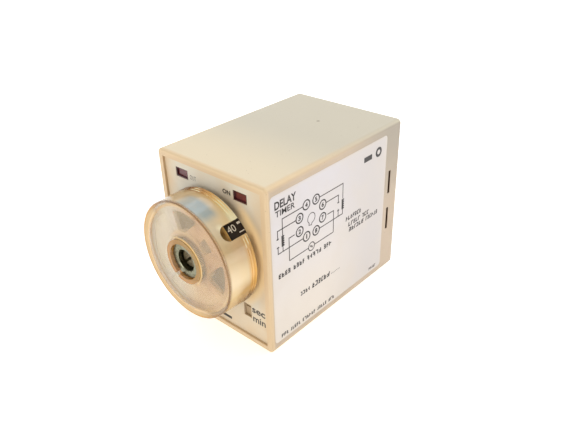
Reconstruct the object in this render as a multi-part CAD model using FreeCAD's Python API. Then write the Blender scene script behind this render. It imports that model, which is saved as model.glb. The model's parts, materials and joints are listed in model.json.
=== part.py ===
import FreeCAD
import Part

import math
import os

# Plug-in analog timer: a box case with a clear dial in front and an eight-pin plug behind.
# All sizes are millimetres. X runs across the front to the right, Y from the front to the plug, Z up.
# In this script Y is 0 at the front rim of the case. send() then moves every piece along Y, so that
# the origin lies under the middle of the whole object, on the surface that it stands on.

V = FreeCAD.Vector
ALONG_X = V(1, 0, 0)
ALONG_Y = V(0, 1, 0)
ALONG_Z = V(0, 0, 1)

# Case
CASE_WIDTH = 48.0
CASE_HEIGHT = 60.5
CASE_DEPTH = 70.0
WALL = 1.6
LONG_EDGE_RADIUS = 1.5
FRONT_EDGE_RADIUS = 0.7
BACK_EDGE_RADIUS = 0.5
RIM_WIDTH = 2.2
SIDE = CASE_WIDTH / 2
INNER_SIDE = SIDE - WALL
MID_HEIGHT = CASE_HEIGHT / 2

# Front plate, in the recess inside the rim
PLATE_FACE = 0.8
PLATE_THICKNESS = 0.3
PLATE_GAP = 0.08
WALL_FRONT = PLATE_FACE + PLATE_THICKNESS
WALL_BACK = WALL_FRONT + WALL

# Indicator windows, with the selector's window below the right one
LEFT_X = -13.6
RIGHT_X = 12.7
LENS_Z = 54.1
LENS_WIDTH = 5.8
LENS_HEIGHT = 3.35
LENS_FACE = 0.95
LENS_RIM = 0.35
LENS_DISH = 0.45
LENS_FLANGE = 0.8
LENS_FLANGE_REACH = 0.7
SELECTOR_Z = 12.25
SELECTOR_WIDTH = 3.4
SELECTOR_HEIGHT = 5.2
WINDOW_GAP = 0.06

# Label, set flush in the right side
LABEL_THICKNESS = 0.1
LABEL_FRONT = 1.6
LABEL_BACK = 61.7
LABEL_BOTTOM = 3.1
LABEL_TOP = 57.2
LABEL_RADIUS = 1.5
LABEL_GAP = 0.05

# Latch slots near the back of both sides
SLOT_Y = 64.6
SLOT_WIDTH = 1.4
SLOT_LENGTH = 9.2
SLOT_PITCH = 15.2

# Dial: a clear cover over a wheel with openings, both turning about the potentiometer's axis
DIAL_Z = 33.0
INDEX_ANGLE = 48.25
COVER_BACK = -1.4
COVER_FACE = -12.8
COVER_BACK_RADIUS = 20.55
COVER_FRONT_RADIUS = 20.1
COVER_EDGE = 0.5
COVER_INNER_RADIUS = 18.8
COVER_PANE = 1.8
COVER_GROOVE_DEPTH = 0.14
COVER_GROOVE_WIDTH = 0.3
COVER_GROOVES = (-2.5, -3.5)
HUB_RADIUS = 7.7
HUB_RISE = 0.3
HUB_BACK = -4.8
HUB_NOTCH_ANGLE = 212.0
HUB_NOTCH_WIDTH = 1.5
HUB_NOTCH_DEPTH = 1.0
BUSH_RADIUS = 6.1
BUSH_BORE = 3.65
BUSH_SEAT = -9.1
BUSH_FACE = -12.1
BUSH_CHAMFER = 0.25
WHEEL_FACE = COVER_FACE + COVER_PANE
WHEEL_WEB = 1.2
WHEEL_SLEEVE_OUTER = 18.7
WHEEL_SLEEVE_INNER = 18.0
WHEEL_SLEEVE_BACK = -1.9
WHEEL_COLLAR_OUTER = 9.2
WHEEL_COLLAR_INNER = 7.75
WHEEL_COLLAR_BACK = -8.0
WHEEL_ARM = 14.4
OPENING_INNER = 9.6
OPENING_OUTER = 16.5
OPENING_END = 66.0
INDEX_OPENING = (9.6, 14.0)
INDEX_OPENING_HALF_ANGLE = 10.0
PANEL_SPANS = ((80.0, 173.0), (187.0, 280.0))
PANEL_DEPTH = 0.4
OPENING_CORNER = 0.7
READING_SLOT_WIDTH = 5.1
READING_SLOT_END = -9.55

# Scale drum, fixed to the front, with the scale band round it
DRUM_FRONT = -5.6
DRUM_RADIUS = 17.5
DRUM_WALL = 1.2
DRUM_FLOOR = 1.5
BAND_THICKNESS = 0.15
BAND_FRONT = -5.1

# Potentiometer
SHAFT_RADIUS = 3.0
SHAFT_FRONT = -10.4
SHAFT_SLOT_WIDTH = 0.9
SHAFT_SLOT_DEPTH = 2.0
PIVOT_RADIUS = 1.5
PIVOT_END = 10.9
BUSHING_RADIUS = 3.5
BUSHING_BORE = 3.05
BUSHING_FRONT = -4.4
BUSHING_HOLE = 3.6
POT_RADIUS = 8.5
POT_SHEET = 0.5
POT_PLATE = 1.0
POT_BACK = 11.7
WIPER_FRONT = 7.6
WIPER_RADIUS = 6.6
WIPER_THICKNESS = 1.0
TRACK_FRONT = 9.7
TRACK_THICKNESS = 1.0
TRACK_RADIUS = 7.9
TRACK_HOLE = 1.65
FINGER_GAP = 0.05
FINGER_PLACE = 5.0
FINGER_SPREAD = 1.2
FINGER_WIDTH = 0.8
FINGER_LENGTH = 1.6
WASHER_RADIUS = 5.6
WASHER_THICKNESS = 0.5
NUT_WIDTH = 10.0
NUT_THICKNESS = 2.0
POT_LUG_PITCH = 5.0
POT_LUG_DROP = 10.8
POT_LUG_WIDTH = 1.8
POT_LUG_END = 0.4
POT_LUG_GAP = 0.03

# Boards
BOARD = 1.6
BOARD_SIDE = 21.5
BOARD_BOTTOM = 4.0
BOARD_TOP = 56.5
FRONT_BOARD_Y = 13.2
BASE_BOARD_Y = 61.0
SIDE_BOARD_X = 19.0
BOARD_GAP = 0.1
TAB_WIDTH = 6.0
TAB_HEIGHTS = (10.0, 30.25, 50.5)
PIN_RADIUS = 0.35
PIN_HOLE = 0.45
PIN_STICK_OUT = 0.7
LEAD_PITCH = 2.54

# Indicator LEDs
LED_WIDTH = 5.0
LED_HEIGHT = 2.4
LED_FRONT = 4.0
LED_BACK = 10.4
LED_SPACER_MARGIN = 0.3

# Unit selector: a slide switch, shown in its upper place
SELECTOR_TRAVEL = 2.0
SHUTTER_FACE = 1.7
SHUTTER_BACK = 2.5
SHUTTER_WIDTH = 3.9
SHUTTER_HEIGHT = 7.6
SHUTTER_GROOVE_WIDTH = 0.6
SHUTTER_GROOVE_LENGTH = 2.4
SHUTTER_GROOVE_DEPTH = 0.4
SHUTTER_GAP = 0.15
POCKET_FRONT = 1.6
SLIDER_WIDTH = 2.5
SLIDER_HEIGHT = 2.5
SLIDER_FOOT_FRONT = 9.4
SLIDER_FOOT_BACK = 10.9
SLIDER_FOOT_WIDTH = 4.0
SLIDER_FOOT_HEIGHT = 5.0
SWITCH_FRONT = 8.2
SWITCH_WIDTH = 6.6
SWITCH_HEIGHT = 10.4
SWITCH_SHEET = 0.9
SWITCH_CLEARANCE = 0.35
CONTACT_WIDTH = 2.0
CONTACT_HEIGHT = 4.0
CONTACT_THICKNESS = 0.5

# Transformer, on the power board
CORE_X = -7.0
CORE_Y = 42.0
CORE_Z = 17.0
CORE_STACK = 12.0
CORE_LENGTH = 30.0
CORE_HEIGHT = 25.0
CORE_LIMB = 5.0
BOBBIN_GAP = 0.1
BOBBIN_SHEET = 0.9
BOBBIN_REACH = 4.2
BOBBIN_FOOT = 10.2
WINDING_REACH = 3.6
WINDING_CORNER = 2.0

# Relay, on the power board
RELAY_Y0 = 30.0
RELAY_Y1 = 59.0
RELAY_Z = 44.0
RELAY_WIDTH = 22.0
RELAY_BASE_TOP = -17.0
RELAY_TOP = 6.4
RELAY_COVER_SHEET = 0.8
RELAY_COVER_CORNER = 1.0
RELAY_PIN_INSETS = (2.5, 7.5)
RELAY_PIN_SPREAD = 15.0
COIL_Y = 49.6
COIL_CORE_RADIUS = 3.0
POLE_RADIUS = 4.5
POLE_TOP = 2.0
POLE_THICKNESS = 1.0
COIL_FLANGE = 15.0
COIL_FLANGE_THICKNESS = 1.0
COIL_RADIUS = 7.0
COIL_BOTTOM = -14.8
YOKE_Y = 40.2
YOKE_THICKNESS = 1.6
YOKE_WIDTH = 12.0
YOKE_TOP = 2.75
ARMATURE_UNDERSIDE = 2.9
ARMATURE_THICKNESS = 1.4
ARMATURE_END = 55.5
FORK_SLOT = 5.0
FORK_DEPTH = 3.1
CONTACT_BLOCK_FRONT = 33.6
CONTACT_BLOCK_BACK = 38.6
CONTACT_BLOCK_BOTTOM = -2.0
ARM_Y = 36.0
ARM_THICKNESS = 0.4
ARM_WIDTH = 3.0
ARM_TIP = -13.0
POLE_PITCH = 8.0
BUTTON_RADIUS = 1.1
BUTTON_HEIGHT = 0.6
BUTTON_X = -11.5
FIXED_STRIP_TOP = -9.5
CLOSED_GAP = 0.05
OPEN_FACE_Y = 34.2
HINGE_SPRING_SHEET = 0.25
HINGE_SPRING_WIDTH = 4.0
HINGE_SPRING_BOTTOM = -8.0
HINGE_SPRING_TOP = 4.6
HINGE_SPRING_END = 43.2

# Plug base
BASE_FRONT = 66.4
BASE_GAP = 0.1
BASE_CORNER = 0.8
BOSS_RADIUS = 15.5
BOSS_HEIGHT = 2.5
BOSS_BACK = CASE_DEPTH + BOSS_HEIGHT
POST_RADIUS = 3.95
POST_LENGTH = 14.3
POST_BACK = BOSS_BACK + POST_LENGTH
POST_CHAMFER = 0.9
KEY_WIDTH = 1.7
KEY_REACH = 5.1
STAND_OFF_RADIUS = 2.0
STAND_OFF_X = 16.0
STAND_OFF_Z = 21.0
PLUG_PIN_COUNT = 8
PLUG_PIN_CIRCLE = 17.45
PLUG_PIN_RADIUS = 1.18
PLUG_ROOT_RADIUS = 1.4
PLUG_PIN_LENGTH = 11.0
PLUG_PIN_FRONT = 64.5
PLUG_PIN_TIP = 0.8
PLUG_TAIL_RADIUS = 0.6
PLUG_TAIL_HOLE = 0.7
PLUG_TAIL_FRONT = 60.2
HOOK_WIDTH = 8.2
HOOK_FRONT = 62.9
HOOK_SHEET = 1.2
HOOK_GAP = 0.2
HOOK_REACH = 0.9
HOOK_LIP = 0.15

# Components on the power board, as (y, z) places
FILTER_PLACES = [(21.4, 12.0), (21.4, 24.5)]
FILTER_RADIUS = 5.0
FILTER_LENGTH = 16.0
FILTER_EDGE = 0.6
FILTER_LEAD_PITCH = 5.0

# Components on the timing board
IC_PLACE = (38.0, 34.0)
IC_LENGTH = 19.4
IC_WIDTH = 6.4
IC_HEIGHT = 3.4
IC_STAND_OFF = 0.6
IC_ROW_PITCH = 7.62
IC_PINS_PER_ROW = 8
IC_MARK_RADIUS = 0.8
IC_MARK_DEPTH = 0.5
IC_ARM_WIDTH = 1.2
IC_ARM_THICKNESS = 0.3
FILM_PLACE = (38.0, 47.5)
FILM_SIZE = (12.0, 5.0, 9.0)
FILM_LEAD_PITCH = 10.0
FILM_CORNER = 0.7
RESISTOR_PLACES = [(y, z) for y in (24.0, 36.0) for z in (12.0, 17.0, 22.0)]
RESISTOR_RADIUS = 1.15
RESISTOR_LENGTH = 6.3
DIODE_PLACES = [(48.0, 12.0), (48.0, 17.0), (48.0, 22.0), (24.0, 46.0)]
DIODE_RADIUS = 0.95
DIODE_LENGTH = 4.2
AXIAL_HEIGHT = 1.5
LEAD_RADIUS = 0.3
LEAD_OVERHANG = 1.0
TRANSISTOR_PLACE = (54.0, 46.0)
TRANSISTOR_RADIUS = 2.4
TRANSISTOR_FLAT = 1.4
TRANSISTOR_HEIGHT = 4.8
TRANSISTOR_PITCH = 1.27

Y_SHIFT = -(COVER_FACE - HUB_RISE + POST_BACK) / 2


# Plain solids

def block(x0, x1, y0, y1, z0, z1):
    return Part.makeBox(x1 - x0, y1 - y0, z1 - z0, V(x0, y0, z0))


def bar(x, z, width, height, y0, y1):
    """A bar along Y, centred on (x, z)."""
    return block(x - width / 2, x + width / 2, y0, y1, z - height / 2, z + height / 2)


def rod(x, z, radius, y0, y1):
    """A cylinder along Y."""
    return Part.makeCylinder(radius, y1 - y0, V(x, y0, z), ALONG_Y)


def tube(x, z, outer, inner, y0, y1):
    return rod(x, z, outer, y0, y1).cut(rod(x, z, inner, y0, y1))


def peg(y, z, radius, x0, x1):
    """A cylinder along X."""
    return Part.makeCylinder(radius, x1 - x0, V(x0, y, z), ALONG_X)


def turned(outline, x, z):
    """A solid of revolution about the Y axis through (x, z), from (radius, y) points."""
    points = [V(x + radius, y, z) for radius, y in outline]
    face = Part.Face(Part.makePolygon(points + points[:1]))
    return face.revolve(V(x, 0, z), ALONG_Y, 360)


def clockwise(shape, angle):
    """The shape turned about the dial's axis, clockwise as seen from the front."""
    copy = shape.copy()
    copy.rotate(V(0, 0, DIAL_Z), ALONG_Y, angle)
    return copy


def edges_along(shape, direction):
    """The straight edges that run along a direction."""
    found = []
    for edge in shape.Edges:
        if isinstance(edge.Curve, Part.Line) and abs(edge.Curve.Direction.dot(direction)) > 0.999:
            found.append(edge)
    return found


def circles(shape):
    return [edge for edge in shape.Edges if isinstance(edge.Curve, Part.Circle)]


def edges_at(shape, y):
    """The edges that lie in the plane at y."""
    return [e for e in shape.Edges if abs(e.BoundBox.YMin - y) < 1e-6 and abs(e.BoundBox.YMax - y) < 1e-6]


def cut_all(shape, tools):
    for tool in tools:
        shape = shape.cut(tool)
    return shape


def fuse_all(shapes):
    whole = shapes[0]
    for shape in shapes[1:]:
        whole = whole.fuse(shape)
    return whole.removeSplitter()


# Case and front

def case_block():
    box = block(-SIDE, SIDE, 0, CASE_DEPTH, 0, CASE_HEIGHT)
    box = box.makeFillet(LONG_EDGE_RADIUS, edges_along(box, ALONG_Y))
    box = box.makeFillet(FRONT_EDGE_RADIUS, edges_at(box, 0))
    return box.makeFillet(BACK_EDGE_RADIUS, edges_at(box, CASE_DEPTH))


def window_cutters(y0, y1):
    """The two lens windows, the selector's window and the bushing's hole."""
    return [
        bar(LEFT_X, LENS_Z, LENS_WIDTH, LENS_HEIGHT, y0, y1),
        bar(RIGHT_X, LENS_Z, LENS_WIDTH, LENS_HEIGHT, y0, y1),
        bar(RIGHT_X, SELECTOR_Z, SELECTOR_WIDTH, SELECTOR_HEIGHT, y0, y1),
        rod(0, DIAL_Z, BUSHING_HOLE, y0, y1),
    ]


def shutter_pocket():
    """Room in the wall, behind the selector's window, for the shutter and its travel."""
    width = SHUTTER_WIDTH + 2 * SHUTTER_GAP
    height = SHUTTER_HEIGHT + SELECTOR_TRAVEL + 2 * SHUTTER_GAP
    return bar(RIGHT_X, SELECTOR_Z, width, height, POCKET_FRONT, WALL_BACK + 1)


def slot_heights():
    return [MID_HEIGHT - SLOT_PITCH / 2, MID_HEIGHT + SLOT_PITCH / 2]


def latch_slots():
    slots = []
    front = SLOT_Y - SLOT_WIDTH / 2
    for side in (-1, 1):
        for z in slot_heights():
            slots.append(bar(side * SIDE, z, 3 * WALL, SLOT_LENGTH, front, front + SLOT_WIDTH))
    return slots


def label_pad(gap):
    """The label's own shape, or with a gap the shape of its recess."""
    front = LABEL_FRONT - gap
    back = LABEL_BACK + gap
    pad = block(SIDE - LABEL_THICKNESS, SIDE, front, back, LABEL_BOTTOM - gap, LABEL_TOP + gap)
    return pad.makeFillet(LABEL_RADIUS + gap, edges_along(pad, ALONG_X))


def case_shell():
    recess = block(RIM_WIDTH - SIDE, SIDE - RIM_WIDTH, -1, WALL_FRONT, RIM_WIDTH, CASE_HEIGHT - RIM_WIDTH)
    room = block(-INNER_SIDE, INNER_SIDE, WALL_BACK, CASE_DEPTH + 1, WALL, CASE_HEIGHT - WALL)
    room = room.makeFillet(BASE_CORNER, edges_along(room, ALONG_Y))
    shell = case_block().cut(recess).cut(room)
    shell = cut_all(shell, window_cutters(0, WALL_BACK + 1)).cut(shutter_pocket())
    shell = cut_all(shell, latch_slots())
    return shell.cut(label_pad(LABEL_GAP))


def front_plate():
    edge = RIM_WIDTH + PLATE_GAP
    plate = block(edge - SIDE, SIDE - edge, PLATE_FACE, WALL_FRONT, edge, CASE_HEIGHT - edge)
    return cut_all(plate, window_cutters(0, WALL_BACK))


def lens(x):
    """A dished lens that fills its window from behind and rests on the wall with a flange."""
    width = LENS_WIDTH - 2 * WINDOW_GAP
    height = LENS_HEIGHT - 2 * WINDOW_GAP
    reach = 2 * LENS_FLANGE_REACH
    face = bar(x, LENS_Z, width, height, LENS_FACE, WALL_BACK)
    flange = bar(x, LENS_Z, width + reach, height + reach, WALL_BACK, WALL_BACK + LENS_FLANGE)
    rim = 2 * LENS_RIM
    dish = bar(x, LENS_Z, width - rim, height - rim, LENS_FACE, LENS_FACE + LENS_DISH)
    return fuse_all([face, flange]).cut(dish)


# Scale drum and dial

def scale_drum():
    floor = rod(0, DIAL_Z, DRUM_RADIUS, PLATE_FACE - DRUM_FLOOR, PLATE_FACE)
    wall = tube(0, DIAL_Z, DRUM_RADIUS, DRUM_RADIUS - DRUM_WALL, DRUM_FRONT, PLATE_FACE)
    return fuse_all([floor, wall]).cut(rod(0, DIAL_Z, BUSHING_HOLE, DRUM_FRONT, PLATE_FACE))


def scale_band():
    return tube(0, DIAL_Z, DRUM_RADIUS + BAND_THICKNESS, DRUM_RADIUS, BAND_FRONT, PLATE_FACE)


def reading_slot():
    """The cutter of the reading window: open at the back, round at the front end."""
    radius = READING_SLOT_WIDTH / 2
    top = DIAL_Z + COVER_BACK_RADIUS + 1
    bottom = DIAL_Z + WHEEL_SLEEVE_INNER - 2
    centre = READING_SLOT_END + radius
    slot = block(-radius, radius, centre, 0, bottom, top)
    end = Part.makeCylinder(radius, top - bottom, V(0, centre, bottom), ALONG_Z)
    return clockwise(slot.fuse(end), INDEX_ANGLE)


def cover_radius(y):
    """The outer radius of the cover's tapered skirt at y."""
    share = (y - COVER_BACK) / (COVER_FACE - COVER_BACK)
    return COVER_BACK_RADIUS + share * (COVER_FRONT_RADIUS - COVER_BACK_RADIUS)


def dial_cover():
    edge_y = COVER_FACE + COVER_EDGE
    soft = COVER_EDGE * (1 - math.sqrt(0.5))
    outline = [
        (COVER_INNER_RADIUS, COVER_BACK),
        (COVER_BACK_RADIUS, COVER_BACK),
        (cover_radius(edge_y), edge_y),
        (COVER_FRONT_RADIUS - soft, COVER_FACE + soft),
        (COVER_FRONT_RADIUS - COVER_EDGE, COVER_FACE),
        (HUB_RADIUS, COVER_FACE),
        (HUB_RADIUS, COVER_FACE - HUB_RISE),
        (BUSH_RADIUS, COVER_FACE - HUB_RISE),
        (BUSH_RADIUS, HUB_BACK),
        (HUB_RADIUS, HUB_BACK),
        (HUB_RADIUS, WHEEL_FACE),
        (COVER_INNER_RADIUS, WHEEL_FACE),
    ]
    cover = turned(outline, 0, DIAL_Z)
    for y in COVER_GROOVES:
        outer = cover_radius(y) + 1
        inner = cover_radius(y) - COVER_GROOVE_DEPTH
        cover = cover.cut(tube(0, DIAL_Z, outer, inner, y, y + COVER_GROOVE_WIDTH))
    ring = 2 * (HUB_RADIUS - BUSH_RADIUS)
    floor = COVER_FACE + HUB_NOTCH_DEPTH
    notch = bar(0, DIAL_Z + BUSH_RADIUS, HUB_NOTCH_WIDTH, ring, COVER_FACE - 1, floor)
    return cover.cut(clockwise(notch, HUB_NOTCH_ANGLE)).cut(reading_slot())


def sector(inner, outer, inner_span, outer_span, y0, y1):
    """A ring sector with rounded corners. The spans are angles, clockwise from straight up."""
    def at(radius, angle):
        turn = math.radians(angle)
        return V(radius * math.sin(turn), y0, DIAL_Z + radius * math.cos(turn))

    def arc(radius, start, end):
        return Part.Arc(at(radius, start), at(radius, (start + end) / 2), at(radius, end)).toShape()

    edges = [
        arc(outer, outer_span[0], outer_span[1]),
        Part.LineSegment(at(outer, outer_span[1]), at(inner, inner_span[1])).toShape(),
        arc(inner, inner_span[1], inner_span[0]),
        Part.LineSegment(at(inner, inner_span[0]), at(outer, outer_span[0])).toShape(),
    ]
    solid = Part.Face(Part.Wire(edges)).extrude(V(0, y1 - y0, 0))
    return solid.makeFillet(OPENING_CORNER, edges_along(solid, ALONG_Y))


def wheel_openings():
    """The index opening in the wheel's straight arm, an opening on each side, and shallow panels."""
    y0 = WHEEL_FACE - 1
    y1 = WHEEL_FACE + WHEEL_WEB + 1
    half = INDEX_OPENING_HALF_ANGLE
    near_inner = math.degrees(math.asin(WHEEL_ARM / 2 / OPENING_INNER))
    near_outer = math.degrees(math.asin(WHEEL_ARM / 2 / OPENING_OUTER))
    openings = [sector(INDEX_OPENING[0], INDEX_OPENING[1], (-half, half), (-half, half), y0, y1)]
    for side in (1, -1):
        inner_span = (side * near_inner, side * OPENING_END)
        outer_span = (side * near_outer, side * OPENING_END)
        openings.append(sector(OPENING_INNER, OPENING_OUTER, inner_span, outer_span, y0, y1))
    for span in PANEL_SPANS:
        openings.append(sector(OPENING_INNER, OPENING_OUTER, span, span, y0, WHEEL_FACE + PANEL_DEPTH))
    return [clockwise(opening, INDEX_ANGLE) for opening in openings]


def dial_wheel():
    web_back = WHEEL_FACE + WHEEL_WEB
    outline = [
        (WHEEL_COLLAR_INNER, WHEEL_FACE),
        (WHEEL_SLEEVE_OUTER, WHEEL_FACE),
        (WHEEL_SLEEVE_OUTER, WHEEL_SLEEVE_BACK),
        (WHEEL_SLEEVE_INNER, WHEEL_SLEEVE_BACK),
        (WHEEL_SLEEVE_INNER, web_back),
        (WHEEL_COLLAR_OUTER, web_back),
        (WHEEL_COLLAR_OUTER, WHEEL_COLLAR_BACK),
        (WHEEL_COLLAR_INNER, WHEEL_COLLAR_BACK),
    ]
    wheel = cut_all(turned(outline, 0, DIAL_Z), wheel_openings())
    return wheel.cut(reading_slot())


def dial_bush():
    outline = [
        (BUSH_BORE + BUSH_CHAMFER, BUSH_FACE),
        (BUSH_RADIUS - BUSH_CHAMFER, BUSH_FACE),
        (BUSH_RADIUS, BUSH_FACE + BUSH_CHAMFER),
        (BUSH_RADIUS, HUB_BACK),
        (SHAFT_RADIUS, HUB_BACK),
        (SHAFT_RADIUS, BUSH_SEAT),
        (BUSH_BORE, BUSH_SEAT),
        (BUSH_BORE, BUSH_FACE + BUSH_CHAMFER),
    ]
    return turned(outline, 0, DIAL_Z)


# Potentiometer

def pot_shaft():
    shaft = rod(0, DIAL_Z, SHAFT_RADIUS, SHAFT_FRONT, WIPER_FRONT)
    pivot = rod(0, DIAL_Z, PIVOT_RADIUS, WIPER_FRONT, PIVOT_END)
    slot_floor = SHAFT_FRONT + SHAFT_SLOT_DEPTH
    slot = bar(0, DIAL_Z, SHAFT_SLOT_WIDTH, 3 * SHAFT_RADIUS, SHAFT_FRONT - 1, slot_floor)
    return fuse_all([shaft, pivot]).cut(clockwise(slot, INDEX_ANGLE))


def pot_bushing():
    outline = [
        (BUSHING_BORE, BUSHING_FRONT),
        (BUSHING_RADIUS, BUSHING_FRONT),
        (BUSHING_RADIUS, WALL_BACK),
        (POT_RADIUS, WALL_BACK),
        (POT_RADIUS, WALL_BACK + POT_PLATE),
        (BUSHING_BORE, WALL_BACK + POT_PLATE),
    ]
    return turned(outline, 0, DIAL_Z)


def pot_washer():
    back = PLATE_FACE - DRUM_FLOOR
    return tube(0, DIAL_Z, WASHER_RADIUS, BUSHING_RADIUS, back - WASHER_THICKNESS, back)


def pot_nut():
    back = PLATE_FACE - DRUM_FLOOR - WASHER_THICKNESS
    radius = NUT_WIDTH / math.sqrt(3)
    corners = []
    for k in range(7):
        turn = math.radians(60 * k)
        corners.append(V(radius * math.cos(turn), back - NUT_THICKNESS, DIAL_Z + radius * math.sin(turn)))
    hexagon = Part.Face(Part.makePolygon(corners)).extrude(V(0, NUT_THICKNESS, 0))
    return hexagon.cut(rod(0, DIAL_Z, BUSHING_RADIUS, back - NUT_THICKNESS, back))


def pot_lug_places():
    return [-POT_LUG_PITCH, 0, POT_LUG_PITCH]


def pot_housing():
    front = WALL_BACK + POT_PLATE
    can = rod(0, DIAL_Z, POT_RADIUS, front, POT_BACK)
    can = can.cut(rod(0, DIAL_Z, POT_RADIUS - POT_SHEET, front, POT_BACK - POT_SHEET))
    mouth = TRACK_FRONT + TRACK_THICKNESS
    return can.cut(bar(0, DIAL_Z - POT_RADIUS, 3 * POT_LUG_PITCH, POT_RADIUS, mouth, POT_BACK - POT_SHEET))


def pot_track():
    return tube(0, DIAL_Z, TRACK_RADIUS, TRACK_HOLE, TRACK_FRONT, TRACK_FRONT + TRACK_THICKNESS)


def pot_wiper():
    disc_back = WIPER_FRONT + WIPER_THICKNESS
    tips = TRACK_FRONT - FINGER_GAP
    disc = tube(0, DIAL_Z, WIPER_RADIUS, PIVOT_RADIUS, WIPER_FRONT, disc_back)
    fingers = []
    for x in (-FINGER_SPREAD / 2, FINGER_SPREAD / 2):
        finger = bar(x, DIAL_Z + FINGER_PLACE, FINGER_WIDTH, FINGER_LENGTH, disc_back, tips)
        fingers.append(clockwise(finger, INDEX_ANGLE))
    return fuse_all([disc] + fingers)


def pot_terminals():
    lugs = []
    front = TRACK_FRONT + TRACK_THICKNESS + POT_LUG_GAP
    back = POT_BACK - POT_SHEET - POT_LUG_GAP
    low = DIAL_Z - POT_LUG_DROP
    high = DIAL_Z - 2 * POT_RADIUS / 3
    half = POT_LUG_WIDTH / 2
    for x in pot_lug_places():
        blade = block(x - half, x + half, front, back, low - POT_LUG_END, high)
        tail = rod(x, low, PIN_RADIUS, back, FRONT_BOARD_Y + BOARD + PIN_STICK_OUT)
        lugs.append(fuse_all([blade, tail]))
    return Part.makeCompound(lugs)


# Indicators

def led_lead_places(x):
    return [x - LEAD_PITCH / 2, x + LEAD_PITCH / 2]


def led(x):
    body = bar(x, LENS_Z, LED_WIDTH, LED_HEIGHT, LED_FRONT, LED_BACK)
    tip = FRONT_BOARD_Y + BOARD + PIN_STICK_OUT
    leads = [rod(place, LENS_Z, PIN_RADIUS, LED_BACK, tip) for place in led_lead_places(x)]
    return fuse_all([body] + leads)


def led_spacers():
    spacers = []
    width = LED_WIDTH + 2 * LED_SPACER_MARGIN
    height = LED_HEIGHT + 2 * LED_SPACER_MARGIN
    for x in (LEFT_X, RIGHT_X):
        spacer = bar(x, LENS_Z, width, height, LED_BACK, FRONT_BOARD_Y)
        for place in led_lead_places(x):
            spacer = spacer.cut(rod(place, LENS_Z, PIN_HOLE, LED_BACK, FRONT_BOARD_Y))
        spacers.append(spacer)
    return Part.makeCompound(spacers)


# Unit selector

def selector_slider():
    """A shutter behind the window, with a groove to move it by, on a stem and a foot."""
    z = SELECTOR_Z + SELECTOR_TRAVEL / 2
    shutter = bar(RIGHT_X, z, SHUTTER_WIDTH, SHUTTER_HEIGHT, SHUTTER_FACE, SHUTTER_BACK)
    floor = SHUTTER_FACE + SHUTTER_GROOVE_DEPTH
    groove = bar(RIGHT_X, z, SHUTTER_GROOVE_LENGTH, SHUTTER_GROOVE_WIDTH, SHUTTER_FACE, floor)
    stem = bar(RIGHT_X, z, SLIDER_WIDTH, SLIDER_HEIGHT, SHUTTER_BACK, SLIDER_FOOT_FRONT)
    foot = bar(RIGHT_X, z, SLIDER_FOOT_WIDTH, SLIDER_FOOT_HEIGHT, SLIDER_FOOT_FRONT, SLIDER_FOOT_BACK)
    return fuse_all([shutter.cut(groove), stem, foot])


def selector_contact():
    z = SELECTOR_Z + SELECTOR_TRAVEL / 2
    back = SLIDER_FOOT_BACK + CONTACT_THICKNESS
    return bar(RIGHT_X, z, CONTACT_WIDTH, CONTACT_HEIGHT, SLIDER_FOOT_BACK, back)


def selector_body():
    body = bar(RIGHT_X, SELECTOR_Z, SWITCH_WIDTH, SWITCH_HEIGHT, SWITCH_FRONT, FRONT_BOARD_Y)
    room_width = SLIDER_FOOT_WIDTH + 2 * SWITCH_CLEARANCE
    room_height = SLIDER_FOOT_HEIGHT + SELECTOR_TRAVEL + 2 * SWITCH_CLEARANCE
    room_back = SLIDER_FOOT_BACK + CONTACT_THICKNESS + SWITCH_CLEARANCE
    room = bar(RIGHT_X, SELECTOR_Z, room_width, room_height, SWITCH_FRONT + SWITCH_SHEET, room_back)
    mouth_width = SLIDER_WIDTH + 2 * SWITCH_CLEARANCE
    mouth_height = SLIDER_HEIGHT + SELECTOR_TRAVEL + 2 * SWITCH_CLEARANCE
    mouth = bar(RIGHT_X, SELECTOR_Z, mouth_width, mouth_height, SWITCH_FRONT, SWITCH_FRONT + SWITCH_SHEET)
    pin_back = FRONT_BOARD_Y + BOARD + PIN_STICK_OUT
    pins = [rod(RIGHT_X, z, PIN_RADIUS, FRONT_BOARD_Y, pin_back) for z in selector_pin_heights()]
    return fuse_all([body.cut(room).cut(mouth)] + pins)


def selector_pin_heights():
    return [SELECTOR_Z - LEAD_PITCH, SELECTOR_Z, SELECTOR_Z + LEAD_PITCH]


# Boards

def tab_slots(y0, y1):
    """Slots for the side boards' tabs, in a board that lies across the case."""
    slots = []
    for side in (-1, 1):
        for z in TAB_HEIGHTS:
            centre = side * (SIDE_BOARD_X + BOARD / 2)
            slots.append(bar(centre, z, BOARD + 2 * BOARD_GAP, TAB_WIDTH + 2 * BOARD_GAP, y0, y1))
    return slots


def cross_board(y, holes):
    board = block(-BOARD_SIDE, BOARD_SIDE, y, y + BOARD, BOARD_BOTTOM, BOARD_TOP)
    return cut_all(board, tab_slots(y, y + BOARD) + holes)


def front_board():
    back = FRONT_BOARD_Y + BOARD
    holes = [rod(x, DIAL_Z - POT_LUG_DROP, PIN_HOLE, FRONT_BOARD_Y, back) for x in pot_lug_places()]
    for x in (LEFT_X, RIGHT_X):
        holes += [rod(place, LENS_Z, PIN_HOLE, FRONT_BOARD_Y, back) for place in led_lead_places(x)]
    holes += [rod(RIGHT_X, z, PIN_HOLE, FRONT_BOARD_Y, back) for z in selector_pin_heights()]
    return cross_board(FRONT_BOARD_Y, holes)


def base_board():
    back = BASE_BOARD_Y + BOARD
    holes = [rod(x, z, PLUG_TAIL_HOLE, BASE_BOARD_Y, back) for x, z in plug_pin_places()]
    return cross_board(BASE_BOARD_Y, holes)


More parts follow.
